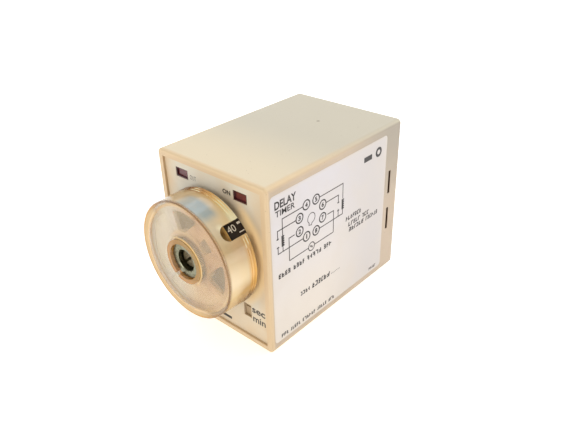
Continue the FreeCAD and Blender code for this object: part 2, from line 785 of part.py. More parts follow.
def side_board(side, pin_places):
    """A board along one side, with tabs that enter the front board and the base board."""
    x0 = min(side * SIDE_BOARD_X, side * (SIDE_BOARD_X + BOARD))
    front = FRONT_BOARD_Y + BOARD + BOARD_GAP
    back = BASE_BOARD_Y - BOARD_GAP
    pieces = [block(x0, x0 + BOARD, front, back, BOARD_BOTTOM, BOARD_TOP)]
    for z in TAB_HEIGHTS:
        low = z - TAB_WIDTH / 2
        pieces.append(block(x0, x0 + BOARD, FRONT_BOARD_Y, BASE_BOARD_Y + BOARD, low, low + TAB_WIDTH))
    return cut_all(fuse_all(pieces), [peg(y, z, PIN_HOLE, x0, x0 + BOARD) for y, z in pin_places])


def power_pins():
    reach = SIDE_BOARD_X + BOARD + PIN_STICK_OUT
    return Part.makeCompound([peg(y, z, PIN_RADIUS, -reach, -SIDE_BOARD_X) for y, z in power_pin_places()])


def power_pin_places():
    places = transformer_pin_places() + relay_pin_places()
    for y, z in FILTER_PLACES:
        places += [(y, z - FILTER_LEAD_PITCH / 2), (y, z + FILTER_LEAD_PITCH / 2)]
    return places


# Plug base

def plug_pin_places():
    """Pin places on their circle, with the key half-way between the last pin and the first."""
    places = []
    for k in range(PLUG_PIN_COUNT):
        turn = math.radians(180 + (k + 0.5) * 360 / PLUG_PIN_COUNT)
        radius = PLUG_PIN_CIRCLE / 2
        places.append((radius * math.sin(turn), MID_HEIGHT + radius * math.cos(turn)))
    return places


def guide_post():
    post = rod(0, MID_HEIGHT, POST_RADIUS, BOSS_BACK, POST_BACK)
    key_bottom = MID_HEIGHT - KEY_REACH
    key = block(-KEY_WIDTH / 2, KEY_WIDTH / 2, BOSS_BACK, POST_BACK - POST_CHAMFER, key_bottom, MID_HEIGHT)
    return fuse_all([post.makeChamfer(POST_CHAMFER, edges_at(post, POST_BACK)), key])


def hook(side, z):
    """A latch arm whose lip lies in one of the case's slots."""
    inner = INNER_SIDE - HOOK_GAP - HOOK_SHEET
    outer = INNER_SIDE - HOOK_GAP
    slot_back = SLOT_Y + SLOT_WIDTH / 2 - HOOK_LIP
    slot_front = SLOT_Y - SLOT_WIDTH / 2 + HOOK_LIP
    outline = [
        (inner, BASE_FRONT),
        (inner, HOOK_FRONT),
        (outer, HOOK_FRONT),
        (outer, slot_front),
        (outer + HOOK_REACH, slot_back - HOOK_LIP),
        (outer + HOOK_REACH, slot_back),
        (outer, slot_back),
        (outer, BASE_FRONT),
    ]
    low = z - HOOK_WIDTH / 2
    points = [V(side * x, y, low) for x, y in outline]
    return Part.Face(Part.makePolygon(points + points[:1])).extrude(V(0, 0, HOOK_WIDTH))


def plug_base():
    side = INNER_SIDE - BASE_GAP
    low = WALL + BASE_GAP
    plate = block(-side, side, BASE_FRONT, CASE_DEPTH, low, CASE_HEIGHT - low)
    plate = plate.makeFillet(BASE_CORNER, edges_along(plate, ALONG_Y))
    pieces = [plate, rod(0, MID_HEIGHT, BOSS_RADIUS, CASE_DEPTH, BOSS_BACK), guide_post()]
    for x in (-STAND_OFF_X, STAND_OFF_X):
        for z in (MID_HEIGHT - STAND_OFF_Z, MID_HEIGHT + STAND_OFF_Z):
            pieces.append(rod(x, z, STAND_OFF_RADIUS, BASE_BOARD_Y + BOARD, BASE_FRONT))
    for side in (-1, 1):
        pieces += [hook(side, z) for z in slot_heights()]
    bores = [rod(x, z, PLUG_ROOT_RADIUS, BASE_FRONT, BOSS_BACK) for x, z in plug_pin_places()]
    return cut_all(fuse_all(pieces), bores)


def plug_pin(x, z):
    back = BOSS_BACK + PLUG_PIN_LENGTH
    blade = rod(x, z, PLUG_PIN_RADIUS, BOSS_BACK, back)
    blade = blade.makeFillet(PLUG_PIN_TIP, edges_at(blade, back))
    root = rod(x, z, PLUG_ROOT_RADIUS, PLUG_PIN_FRONT, BOSS_BACK)
    tail = rod(x, z, PLUG_TAIL_RADIUS, PLUG_TAIL_FRONT, PLUG_PIN_FRONT)
    return fuse_all([blade, root, tail])


# Transformer

def core_window(side):
    """One of the two openings in the lamination stack."""
    limb = CORE_LIMB
    y0 = CORE_Y + side * limb
    y1 = CORE_Y + side * (CORE_LENGTH / 2 - limb)
    height = CORE_HEIGHT - 2 * limb
    return block(
        CORE_X - CORE_STACK / 2,
        CORE_X + CORE_STACK / 2,
        min(y0, y1),
        max(y0, y1),
        CORE_Z - height / 2,
        CORE_Z + height / 2,
    )


def transformer_core():
    stack = bar(CORE_X, CORE_Z, CORE_STACK, CORE_HEIGHT, CORE_Y - CORE_LENGTH / 2, CORE_Y + CORE_LENGTH / 2)
    return cut_all(stack, [core_window(-1), core_window(1)])


def round_limb(margin_x, margin_y, z0, z1):
    """A block round the core's middle limb, larger than it by a margin on each side."""
    half_x = CORE_STACK / 2 + margin_x
    half_y = CORE_LIMB + margin_y
    return block(CORE_X - half_x, CORE_X + half_x, CORE_Y - half_y, CORE_Y + half_y, z0, z1)


def bobbin_ends():
    half = CORE_HEIGHT / 2 - CORE_LIMB - BOBBIN_GAP
    return CORE_Z - half, CORE_Z + half


def transformer_bobbin():
    low, high = bobbin_ends()
    pieces = [round_limb(BOBBIN_GAP + BOBBIN_SHEET, BOBBIN_GAP + BOBBIN_SHEET, low, high)]
    foot = BOBBIN_FOOT / 2
    for z in (low, high - BOBBIN_SHEET):
        pieces.append(round_limb(BOBBIN_REACH, BOBBIN_REACH, z, z + BOBBIN_SHEET))
        pieces.append(block(-SIDE_BOARD_X, CORE_X, CORE_Y - foot, CORE_Y + foot, z, z + BOBBIN_SHEET))
    limb = round_limb(BOBBIN_GAP, BOBBIN_GAP, low, high)
    return fuse_all(pieces).cut(limb)


def transformer_winding():
    low, high = bobbin_ends()
    outer = round_limb(WINDING_REACH, WINDING_REACH, low + BOBBIN_SHEET, high - BOBBIN_SHEET)
    outer = outer.makeFillet(WINDING_CORNER, edges_along(outer, ALONG_Z))
    inner = round_limb(BOBBIN_GAP + BOBBIN_SHEET, BOBBIN_GAP + BOBBIN_SHEET, low, high)
    return outer.cut(inner)


def transformer_pin_places():
    low, high = bobbin_ends()
    places = []
    for z in (low + BOBBIN_SHEET / 2, high - BOBBIN_SHEET / 2):
        places += [(CORE_Y + k * LEAD_PITCH, z) for k in (-1.5, -0.5, 0.5, 1.5)]
    return places


# Relay

def relay_pin_places():
    places = []
    for inset in RELAY_PIN_INSETS:
        for y in (RELAY_Y0 + inset, RELAY_Y1 - inset):
            places += [(y, RELAY_Z - RELAY_PIN_SPREAD / 2), (y, RELAY_Z + RELAY_PIN_SPREAD / 2)]
    return places


def relay_base():
    half = RELAY_WIDTH / 2
    return block(-SIDE_BOARD_X, RELAY_BASE_TOP, RELAY_Y0, RELAY_Y1, RELAY_Z - half, RELAY_Z + half)


def relay_cover():
    half = RELAY_WIDTH / 2
    sheet = RELAY_COVER_SHEET
    box = block(RELAY_BASE_TOP, RELAY_TOP, RELAY_Y0, RELAY_Y1, RELAY_Z - half, RELAY_Z + half)
    box = box.makeFillet(RELAY_COVER_CORNER, edges_along(box, ALONG_X))
    room = block(
        RELAY_BASE_TOP,
        RELAY_TOP - sheet,
        RELAY_Y0 + sheet,
        RELAY_Y1 - sheet,
        RELAY_Z - half + sheet,
        RELAY_Z + half - sheet,
    )
    return box.cut(room)


def relay_core():
    neck = POLE_TOP - POLE_THICKNESS
    stem = peg(COIL_Y, RELAY_Z, COIL_CORE_RADIUS, RELAY_BASE_TOP + YOKE_THICKNESS, neck)
    pole = peg(COIL_Y, RELAY_Z, POLE_RADIUS, neck, POLE_TOP)
    return fuse_all([stem, pole])


def coil_flange(x):
    half = COIL_FLANGE / 2
    return block(x, x + COIL_FLANGE_THICKNESS, COIL_Y - half, COIL_Y + half, RELAY_Z - half, RELAY_Z + half)


def relay_bobbin():
    top = POLE_TOP - POLE_THICKNESS - BOBBIN_GAP
    former = peg(COIL_Y, RELAY_Z, COIL_CORE_RADIUS + BOBBIN_SHEET, COIL_BOTTOM, top)
    pieces = [former, coil_flange(COIL_BOTTOM), coil_flange(top - COIL_FLANGE_THICKNESS)]
    return fuse_all(pieces).cut(peg(COIL_Y, RELAY_Z, COIL_CORE_RADIUS, COIL_BOTTOM, top))


def relay_winding():
    bottom = COIL_BOTTOM + COIL_FLANGE_THICKNESS
    top = POLE_TOP - POLE_THICKNESS - BOBBIN_GAP - COIL_FLANGE_THICKNESS
    coil = peg(COIL_Y, RELAY_Z, COIL_RADIUS, bottom, top)
    return coil.cut(peg(COIL_Y, RELAY_Z, COIL_CORE_RADIUS + BOBBIN_SHEET, bottom, top))


def relay_yoke():
    half = YOKE_WIDTH / 2
    y0 = YOKE_Y - YOKE_THICKNESS / 2
    foot_top = RELAY_BASE_TOP + YOKE_THICKNESS
    foot = block(RELAY_BASE_TOP, foot_top, y0, COIL_Y + COIL_FLANGE / 2, RELAY_Z - half, RELAY_Z + half)
    wall = block(RELAY_BASE_TOP, YOKE_TOP, y0, y0 + YOKE_THICKNESS, RELAY_Z - half, RELAY_Z + half)
    return fuse_all([foot, wall])


def relay_armature():
    half = YOKE_WIDTH / 2
    low = ARMATURE_UNDERSIDE
    top = low + ARMATURE_THICKNESS
    front = CONTACT_BLOCK_BACK
    plate = block(low, top, front, ARMATURE_END, RELAY_Z - half, RELAY_Z + half)
    fork = FORK_SLOT / 2
    return plate.cut(block(low, top, front, front + FORK_DEPTH, RELAY_Z - fork, RELAY_Z + fork))


def contact_lines():
    return [RELAY_Z - POLE_PITCH / 2, RELAY_Z + POLE_PITCH / 2]


def relay_contact_block():
    half = YOKE_WIDTH / 2
    top = ARMATURE_UNDERSIDE + ARMATURE_THICKNESS
    front = CONTACT_BLOCK_FRONT
    return block(CONTACT_BLOCK_BOTTOM, top, front, CONTACT_BLOCK_BACK, RELAY_Z - half, RELAY_Z + half)


def contact_button(z, y0, y1):
    return Part.makeCylinder(BUTTON_RADIUS, y1 - y0, V(BUTTON_X, y0, z), ALONG_Y)


def contact_strip(z, y0, x0, x1):
    return block(x0, x1, y0, y0 + ARM_THICKNESS, z - ARM_WIDTH / 2, z + ARM_WIDTH / 2)


def relay_moving_contacts():
    arms = []
    front = ARM_Y - ARM_THICKNESS / 2
    for z in contact_lines():
        arm = contact_strip(z, front, ARM_TIP, CONTACT_BLOCK_BOTTOM)
        button = contact_button(z, front - BUTTON_HEIGHT, front + ARM_THICKNESS + BUTTON_HEIGHT)
        arms.append(fuse_all([arm, button]))
    return Part.makeCompound(arms)


def relay_fixed_contacts():
    """For each pole, a closed contact behind the moving one and an open contact before it."""
    posts = []
    closed_face = ARM_Y + ARM_THICKNESS / 2 + BUTTON_HEIGHT + CLOSED_GAP
    for z in contact_lines():
        closed_strip = contact_strip(z, closed_face + BUTTON_HEIGHT, RELAY_BASE_TOP, FIXED_STRIP_TOP)
        closed_button = contact_button(z, closed_face, closed_face + BUTTON_HEIGHT)
        posts.append(fuse_all([closed_strip, closed_button]))
        open_back = OPEN_FACE_Y - BUTTON_HEIGHT
        open_strip = contact_strip(z, open_back - ARM_THICKNESS, RELAY_BASE_TOP, FIXED_STRIP_TOP)
        posts.append(fuse_all([open_strip, contact_button(z, open_back, OPEN_FACE_Y)]))
    return Part.makeCompound(posts)


def relay_hinge_spring():
    """A leaf spring on the yoke that reaches over the armature and holds it on its edge."""
    half = HINGE_SPRING_WIDTH / 2
    sheet = HINGE_SPRING_SHEET
    y1 = YOKE_Y - YOKE_THICKNESS / 2
    top = HINGE_SPRING_TOP + sheet
    leaf = block(HINGE_SPRING_BOTTOM, top, y1 - sheet, y1, RELAY_Z - half, RELAY_Z + half)
    lip = block(HINGE_SPRING_TOP, top, y1, HINGE_SPRING_END, RELAY_Z - half, RELAY_Z + half)
    return fuse_all([leaf, lip])


# Components on the boards

def filter_capacitors():
    cans = []
    for y, z in FILTER_PLACES:
        can = peg(y, z, FILTER_RADIUS, -SIDE_BOARD_X, FILTER_LENGTH - SIDE_BOARD_X)
        cans.append(can.makeFillet(FILTER_EDGE, circles(can)))
    return Part.makeCompound(cans)


def timer_ic():
    y, z = IC_PLACE
    top = SIDE_BOARD_X - IC_STAND_OFF
    face = top - IC_HEIGHT
    half = IC_WIDTH / 2
    body = block(face, top, y - IC_LENGTH / 2, y + IC_LENGTH / 2, z - half, z + half)
    return body.cut(peg(y - IC_LENGTH / 2, z, IC_MARK_RADIUS, face, face + IC_MARK_DEPTH))


def ic_pin_places():
    middle, z = IC_PLACE
    first = middle - LEAD_PITCH * (IC_PINS_PER_ROW - 1) / 2
    places = []
    for k in range(IC_PINS_PER_ROW):
        y = first + k * LEAD_PITCH
        places += [(y, z - IC_ROW_PITCH / 2), (y, z + IC_ROW_PITCH / 2)]
    return places


def ic_leads():
    """Each lead leaves the side of the IC half-way up and turns down through the board."""
    leads = []
    _, z = IC_PLACE
    rise = IC_ARM_THICKNESS / 2
    half = IC_ARM_WIDTH / 2
    middle = SIDE_BOARD_X - IC_STAND_OFF - IC_HEIGHT / 2
    tip = SIDE_BOARD_X + BOARD + PIN_STICK_OUT
    for y, pin_z in ic_pin_places():
        side = 1 if pin_z > z else -1
        wall = z + side * IC_WIDTH / 2
        low, high = sorted((wall, pin_z + side * LEAD_RADIUS))
        arm = block(middle - rise, middle + rise, y - half, y + half, low, high)
        leads.append(fuse_all([arm, peg(y, pin_z, LEAD_RADIUS, middle, tip)]))
    return Part.makeCompound(leads)


def film_capacitor():
    y, z = FILM_PLACE
    length, width, height = FILM_SIZE
    top = SIDE_BOARD_X
    body = block(top - height, top, y - length / 2, y + length / 2, z - width / 2, z + width / 2)
    return body.makeFillet(FILM_CORNER, edges_along(body, ALONG_X))


def axial_bodies(places, radius, length):
    x = SIDE_BOARD_X - AXIAL_HEIGHT
    bodies = []
    for y, z in places:
        body = rod(x, z, radius, y - length / 2, y + length / 2)
        bodies.append(body.makeFillet(radius / 3, circles(body)))
    return Part.makeCompound(bodies)


def axial_pin_places(places, length):
    reach = length / 2 + LEAD_OVERHANG
    return [(y + side * reach, z) for y, z in places for side in (-1, 1)]


def axial_leads(places, length):
    """Two leads for each body: out of its end, then down through the board."""
    leads = []
    x = SIDE_BOARD_X - AXIAL_HEIGHT
    tip = SIDE_BOARD_X + BOARD + PIN_STICK_OUT
    for y, z in places:
        for side in (-1, 1):
            end = y + side * length / 2
            turn = y + side * (length / 2 + LEAD_OVERHANG)
            low, high = sorted((end, turn))
            leads.append(fuse_all([rod(x, z, LEAD_RADIUS, low, high), peg(turn, z, LEAD_RADIUS, x, tip)]))
    return leads


def transistor():
    y, z = TRANSISTOR_PLACE
    top = SIDE_BOARD_X
    radius = TRANSISTOR_RADIUS
    face = top - TRANSISTOR_HEIGHT
    body = peg(y, z, radius, face, top)
    return body.cut(block(face, top, y - radius, y + radius, z + TRANSISTOR_FLAT, z + radius))


def transistor_pin_places():
    y, z = TRANSISTOR_PLACE
    return [(y + k * TRANSISTOR_PITCH, z) for k in (-1, 0, 1)]


def film_pin_places():
    y, z = FILM_PLACE
    return [(y - FILM_LEAD_PITCH / 2, z), (y + FILM_LEAD_PITCH / 2, z)]


def timing_leads():
    tip = SIDE_BOARD_X + BOARD + PIN_STICK_OUT
    places = film_pin_places() + transistor_pin_places()
    straight = [peg(y, z, LEAD_RADIUS, SIDE_BOARD_X, tip) for y, z in places]
    bent = axial_leads(RESISTOR_PLACES, RESISTOR_LENGTH) + axial_leads(DIODE_PLACES, DIODE_LENGTH)
    return Part.makeCompound(straight + bent)


def timing_pin_places():
    places = ic_pin_places() + film_pin_places() + transistor_pin_places()
    places += axial_pin_places(RESISTOR_PLACES, RESISTOR_LENGTH)
    return places + axial_pin_places(DIODE_PLACES, DIODE_LENGTH)


# Output

def send(name, shape):
    """Writes one piece, moved so that the origin lies under the middle of the object."""
    placed = shape.copy()
    placed.translate(V(0, Y_SHIFT, 0))
    placed.exportStep("parts/" + name + ".step")


def send_front():
    send("case_shell", case_shell())
    send("front_plate", front_plate())
    send("side_label", label_pad(0))
    send("timing_lens", lens(LEFT_X))
    send("power_lens", lens(RIGHT_X))
    send("timing_led", led(LEFT_X))
    send("power_led", led(RIGHT_X))
    send("led_spacers", led_spacers())
    send("scale_drum", scale_drum())
    send("scale_band", scale_band())


def send_dial():
    send("dial_cover", dial_cover())
    send("dial_wheel", dial_wheel())
    send("dial_bush", dial_bush())
    send("pot_shaft", pot_shaft())
    send("pot_bushing", pot_bushing())
    send("pot_washer", pot_washer())
    send("pot_nut", pot_nut())
    send("pot_housing", pot_housing())
    send("pot_track", pot_track())
    send("pot_wiper", pot_wiper())
    send("pot_terminals", pot_terminals())


def send_selector():
    send("selector_slider", selector_slider())
    send("selector_contact", selector_contact())
    send("selector_body", selector_body())


def send_boards():
    send("front_board", front_board())
    send("base_board", base_board())
    send("power_board", side_board(-1, power_pin_places()))
    send("timing_board", side_board(1, timing_pin_places()))
    send("power_board_pins", power_pins())
    send("timing_board_leads", timing_leads())


def send_plug():
    send("plug_base", plug_base())
    for number, (x, z) in enumerate(plug_pin_places(), 1):
        send("plug_pin_%d" % number, plug_pin(x, z))


def send_transformer():
    send("transformer_core", transformer_core())
    send("transformer_bobbin", transformer_bobbin())
    send("transformer_winding", transformer_winding())


def send_relay():
    send("relay_base", relay_base())
    send("relay_cover", relay_cover())
    send("relay_core", relay_core())
    send("relay_bobbin", relay_bobbin())
    send("relay_winding", relay_winding())
    send("relay_yoke", relay_yoke())
    send("relay_armature", relay_armature())
    send("relay_contact_block", relay_contact_block())
    send("relay_moving_contacts", relay_moving_contacts())
    send("relay_fixed_contacts", relay_fixed_contacts())
    send("relay_hinge_spring", relay_hinge_spring())


def send_components():
    send("filter_capacitors", filter_capacitors())
    send("timer_ic", timer_ic())
    send("ic_leads", ic_leads())
    send("film_capacitor", film_capacitor())
    send("resistors", axial_bodies(RESISTOR_PLACES, RESISTOR_RADIUS, RESISTOR_LENGTH))
    send("diodes", axial_bodies(DIODE_PLACES, DIODE_RADIUS, DIODE_LENGTH))
    send("drive_transistor", transistor())


os.makedirs("parts", exist_ok=True)
send_front()
send_dial()
send_selector()
send_boards()
send_plug()
send_transformer()
send_relay()
send_components()
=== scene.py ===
import json
import math
import random

import bpy
from mathutils import Matrix, Vector


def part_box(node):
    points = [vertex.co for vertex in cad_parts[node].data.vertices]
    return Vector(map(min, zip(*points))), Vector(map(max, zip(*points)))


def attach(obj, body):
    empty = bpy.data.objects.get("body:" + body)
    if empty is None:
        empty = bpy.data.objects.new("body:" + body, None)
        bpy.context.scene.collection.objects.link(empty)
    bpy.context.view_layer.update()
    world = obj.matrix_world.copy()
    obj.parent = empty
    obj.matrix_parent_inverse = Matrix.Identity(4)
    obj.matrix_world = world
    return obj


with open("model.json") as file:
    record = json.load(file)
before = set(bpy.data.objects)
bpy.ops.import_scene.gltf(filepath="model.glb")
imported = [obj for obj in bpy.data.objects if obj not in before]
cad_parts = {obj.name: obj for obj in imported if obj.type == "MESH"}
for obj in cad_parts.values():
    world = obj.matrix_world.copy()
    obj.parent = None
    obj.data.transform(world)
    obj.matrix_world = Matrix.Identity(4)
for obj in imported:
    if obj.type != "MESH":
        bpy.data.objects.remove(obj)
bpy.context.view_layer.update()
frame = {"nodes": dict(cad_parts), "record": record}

# The looks of a plug-in analog timer: a warm grey case with a clear setting dial, red indicator windows,
# a unit selector, a printed label and an eight-pin plug. Lengths are metres; MM turns millimetres into them.
# A name that ends in _mm or _MM holds millimetres.

MM = 0.001
NODES = frame["nodes"]


# Places, taken from the frame

CASE_LOW, CASE_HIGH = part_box("case_shell")
PLATE_LOW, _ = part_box("front_plate")
LABEL_LOW, LABEL_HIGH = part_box("side_label")
BAND_LOW, BAND_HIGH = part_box("scale_band")
COVER_LOW, COVER_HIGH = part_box("dial_cover")
BUSH_LOW, BUSH_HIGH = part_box("dial_bush")
_, PLUG_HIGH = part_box("plug_base")

FRONT = CASE_LOW.y
CASE_LENGTH = CASE_HIGH.y - CASE_LOW.y
PANEL = PLATE_LOW.y
DIAL_X = (BAND_LOW.x + BAND_HIGH.x) / 2
DIAL_Z = (BAND_LOW.z + BAND_HIGH.z) / 2
BAND_RADIUS = (BAND_HIGH.x - BAND_LOW.x) / 2
COVER_RADIUS = (COVER_HIGH.x - COVER_LOW.x) / 2
COVER_FACE = COVER_LOW.y - FRONT
COVER_BACK = COVER_HIGH.y - FRONT
SKIRT_INSIDE = 18.8 * MM
BUSH_RADIUS = (BUSH_HIGH.x - BUSH_LOW.x) / 2
TOOL_MARK_PITCH = 0.09 * MM
PLUG_Z = (CASE_LOW.z + CASE_HIGH.z) / 2
GATE_MARK = (2.2 * MM, FRONT + 50.4 * MM, CASE_HIGH.z)
BRIGHT_SPOT = (13.4 * MM, FRONT - 8.4 * MM, DIAL_Z + 15.2 * MM)


# Materials

def rgb(red, green, blue):
    """A colour from its 0 to 255 screen values."""
    def linear(value):
        share = value / 255
        return share / 12.92 if share <= 0.04045 else ((share + 0.055) / 1.055) ** 2.4

    return (linear(red), linear(green), linear(blue), 1.0)


class Paint:
    """A Principled material, and short calls for the nodes that feed it."""

    def __init__(self, name, **sockets):
        self.material = bpy.data.materials.new(name)
        self.material.use_nodes = True
        self.tree = self.material.node_tree
        self.shader = self.tree.nodes["Principled BSDF"]
        self.place = self.node("TexCoord").outputs["Object"]
        self.set(**sockets)

    def set(self, **sockets):
        """Sets sockets by name, with _ for each space: set(Base_Color=...)."""
        for name, value in sockets.items():
            self.feed(self.shader.inputs[name.replace("_", " ")], value)

    def feed(self, socket, value):
        if isinstance(value, bpy.types.NodeSocket):
            self.tree.links.new(value, socket)
        else:
            socket.default_value = value

    def node(self, kind, inputs=None, **settings):
        node = self.tree.nodes.new("ShaderNode" + kind)
        for name, value in settings.items():
            setattr(node, name, value)
        for name, value in (inputs or {}).items():
            self.feed(node.inputs[name], value)
        return node

    def math(self, operation, *values):
        node = self.node("Math", operation=operation)
        for socket, value in zip(node.inputs, values):
            self.feed(socket, value)
        return node.outputs[0]

    def smooth(self, value, low, high):
        """0 below low and 1 above high, or the other way about if high is below low."""
        start, end, first, last = (low, high, 0.0, 1.0) if low < high else (high, low, 1.0, 0.0)
        limits = {"Value": value, "From Min": start, "From Max": end, "To Min": first, "To Max": last}
        return self.node("MapRange", limits, interpolation_type="SMOOTHSTEP").outputs[0]

    def times(self, *masks):
        """The product of several masks."""
        product = masks[0]
        for mask in masks[1:]:
            product = self.math("MULTIPLY", product, mask)
        return product

    def most(self, *masks):
        """The largest of several masks."""
        largest = masks[0]
        for mask in masks[1:]:
            largest = self.math("MAXIMUM", largest, mask)
        return largest

    def mix(self, share, first, second):
        node = self.node("Mix", data_type="RGBA")
        self.feed(node.inputs[0], share)
        self.feed(node.inputs[6], first)
        self.feed(node.inputs[7], second)
        return node.outputs[2]

    def axes(self, origin=(0, 0, 0)):
        """x, y and z of a point of the surface, measured from the origin."""
        moved = self.node("VectorMath", operation="SUBTRACT")
        self.feed(moved.inputs[0], self.place)
        self.feed(moved.inputs[1], origin)
        return self.node("SeparateXYZ", {"Vector": moved.outputs[0]}).outputs

    def distance(self, spot):
        """How far a point of the surface is from a spot."""
        node = self.node("VectorMath", operation="DISTANCE")
        self.feed(node.inputs[0], self.place)
        self.feed(node.inputs[1], spot)
        return node.outputs["Value"]

    def stretched(self, factors):
        node = self.node("VectorMath", operation="MULTIPLY")
        self.feed(node.inputs[0], self.place)
        self.feed(node.inputs[1], factors)
        return node.outputs[0]

    def noise(self, size_mm, detail=3.0, factors=(1, 1, 1)):
        """Cloudy noise with features of about size_mm, stretched where a factor is small."""
        inputs = {"Vector": self.stretched(factors), "Scale": 1 / (size_mm * MM), "Detail": detail}
        return self.node("TexNoise", inputs).outputs[0]

    def edges(self, radius_mm):
        """0 on flat faces, towards 1 along sharp edges."""
        bevel = self.node("Bevel", {"Radius": radius_mm * MM}, samples=6)
        facing = self.node("VectorMath", operation="DOT_PRODUCT")
        self.feed(facing.inputs[0], bevel.outputs[0])
        self.feed(facing.inputs[1], self.node("NewGeometry").outputs["Normal"])
        return self.smooth(facing.outputs["Value"], 0.995, 0.85)

    def bump(self, height, depth_mm):
        inputs = {"Height": height, "Distance": depth_mm * MM, "Strength": 1.0}
        self.set(Normal=self.node("Bump", inputs).outputs[0])

    def range(self, value, low, high):
        """Spreads a 0 to 1 value over low to high."""
        limits = {"Value": value, "To Min": low, "To Max": high}
        return self.node("MapRange", limits).outputs[0]

    def surface(self, texture, low, high, depth_mm):
        """Gives the material a roughness from low to high and bumps, both from one texture."""
        self.set(Roughness=self.range(texture, low, high))
        self.bump(texture, depth_mm)
        return self.material


def moulded(name, colour, shade, roughness, grain_mm=0.35, depth_mm=0.012, **sockets):
    """Moulded plastic: faint cloudy colour, a fine eroded texture and edges rubbed smoother."""
    paint = Paint(name, **sockets)
    cloud = paint.noise(9.0)
    rubbed = paint.edges(0.25)
    worn = [min(1.0, channel * 1.25 + 0.01) for channel in colour[:3]] + [1.0]
    body = paint.mix(paint.smooth(cloud, 0.35, 0.7), colour, shade)
    paint.set(Base_Color=paint.mix(paint.times(rubbed, 0.5), body, worn))
    grain = paint.noise(grain_mm, 4.0)
    rough = paint.range(grain, roughness - 0.06, roughness + 0.08)
    paint.set(Roughness=paint.math("SUBTRACT", rough, paint.times(rubbed, 0.12)))
    paint.bump(grain, depth_mm)
    return paint.material


def metal(name, colour, shade, roughness, factors=(1, 1, 1)):
    """Bare or plated metal with tool marks along the axis whose factor is smallest."""
    paint = Paint(name, Metallic=1.0)
    marks = paint.noise(0.15, factors=factors)
    stain = paint.smooth(paint.noise(2.5), 0.45, 0.75)
    bright = [min(1.0, channel * 1.3 + 0.02) for channel in colour[:3]] + [1.0]
    body = paint.mix(stain, colour, shade)
    paint.set(Base_Color=paint.mix(paint.edges(0.12), body, bright))
    return paint.surface(marks, roughness - 0.08, roughness + 0.12, 0.006)


def dial_radius(paint, start=FRONT):
    """The distance of a point from the dial's axis, and its place along that axis, measured from start."""
    x, y, z = paint.axes((DIAL_X, start, DIAL_Z))
    square = paint.math("ADD", paint.times(x, x), paint.times(z, z))
    return paint.math("SQRT", square), y


def turned_rings(paint, radius, y):
    """The fine rings that a lathe leaves on faces and sides, and the noise that makes them uneven."""
    travel = paint.math("ADD", radius, y)
    wave = paint.math("SINE", paint.times(travel, 2 * math.pi / TOOL_MARK_PITCH))
    uneven = paint.noise(0.8)
    return paint.times(paint.range(wave, 0.0, 0.5), uneven), uneven


def turned_metal(name, colour, shade, roughness):
    """Metal turned on a lathe about the dial's axis."""
    paint = Paint(name, Metallic=1.0)
    radius, y = dial_radius(paint, 0)
    rings, uneven = turned_rings(paint, radius, y)
    paint.set(Base_Color=paint.mix(paint.smooth(uneven, 0.4, 0.7), colour, shade))
    return paint.surface(rings, roughness - 0.05, roughness + 0.15, 0.01)


def bush_metal():
    """The turned bush: grey green metal, its outside painted with a golden glow for light seen through the
    clear hub.
    """
    paint = Paint("turned_aluminium")
    radius, y = dial_radius(paint)
    rings, uneven = turned_rings(paint, radius, y)
    body = paint.mix(paint.smooth(uneven, 0.4, 0.7), rgb(142, 142, 120), rgb(112, 108, 84))
    # The outside wall carries a painted golden glow and is not metal there
    glowing_skin = paint.smooth(radius, BUSH_RADIUS - 0.1 * MM, BUSH_RADIUS - 0.04 * MM)
    paint.set(Base_Color=paint.mix(glowing_skin, body, rgb(232, 190, 122)))
    paint.set(Metallic=paint.range(glowing_skin, 1.0, 0.0))
    return paint.surface(rings, 0.27, 0.47, 0.01)


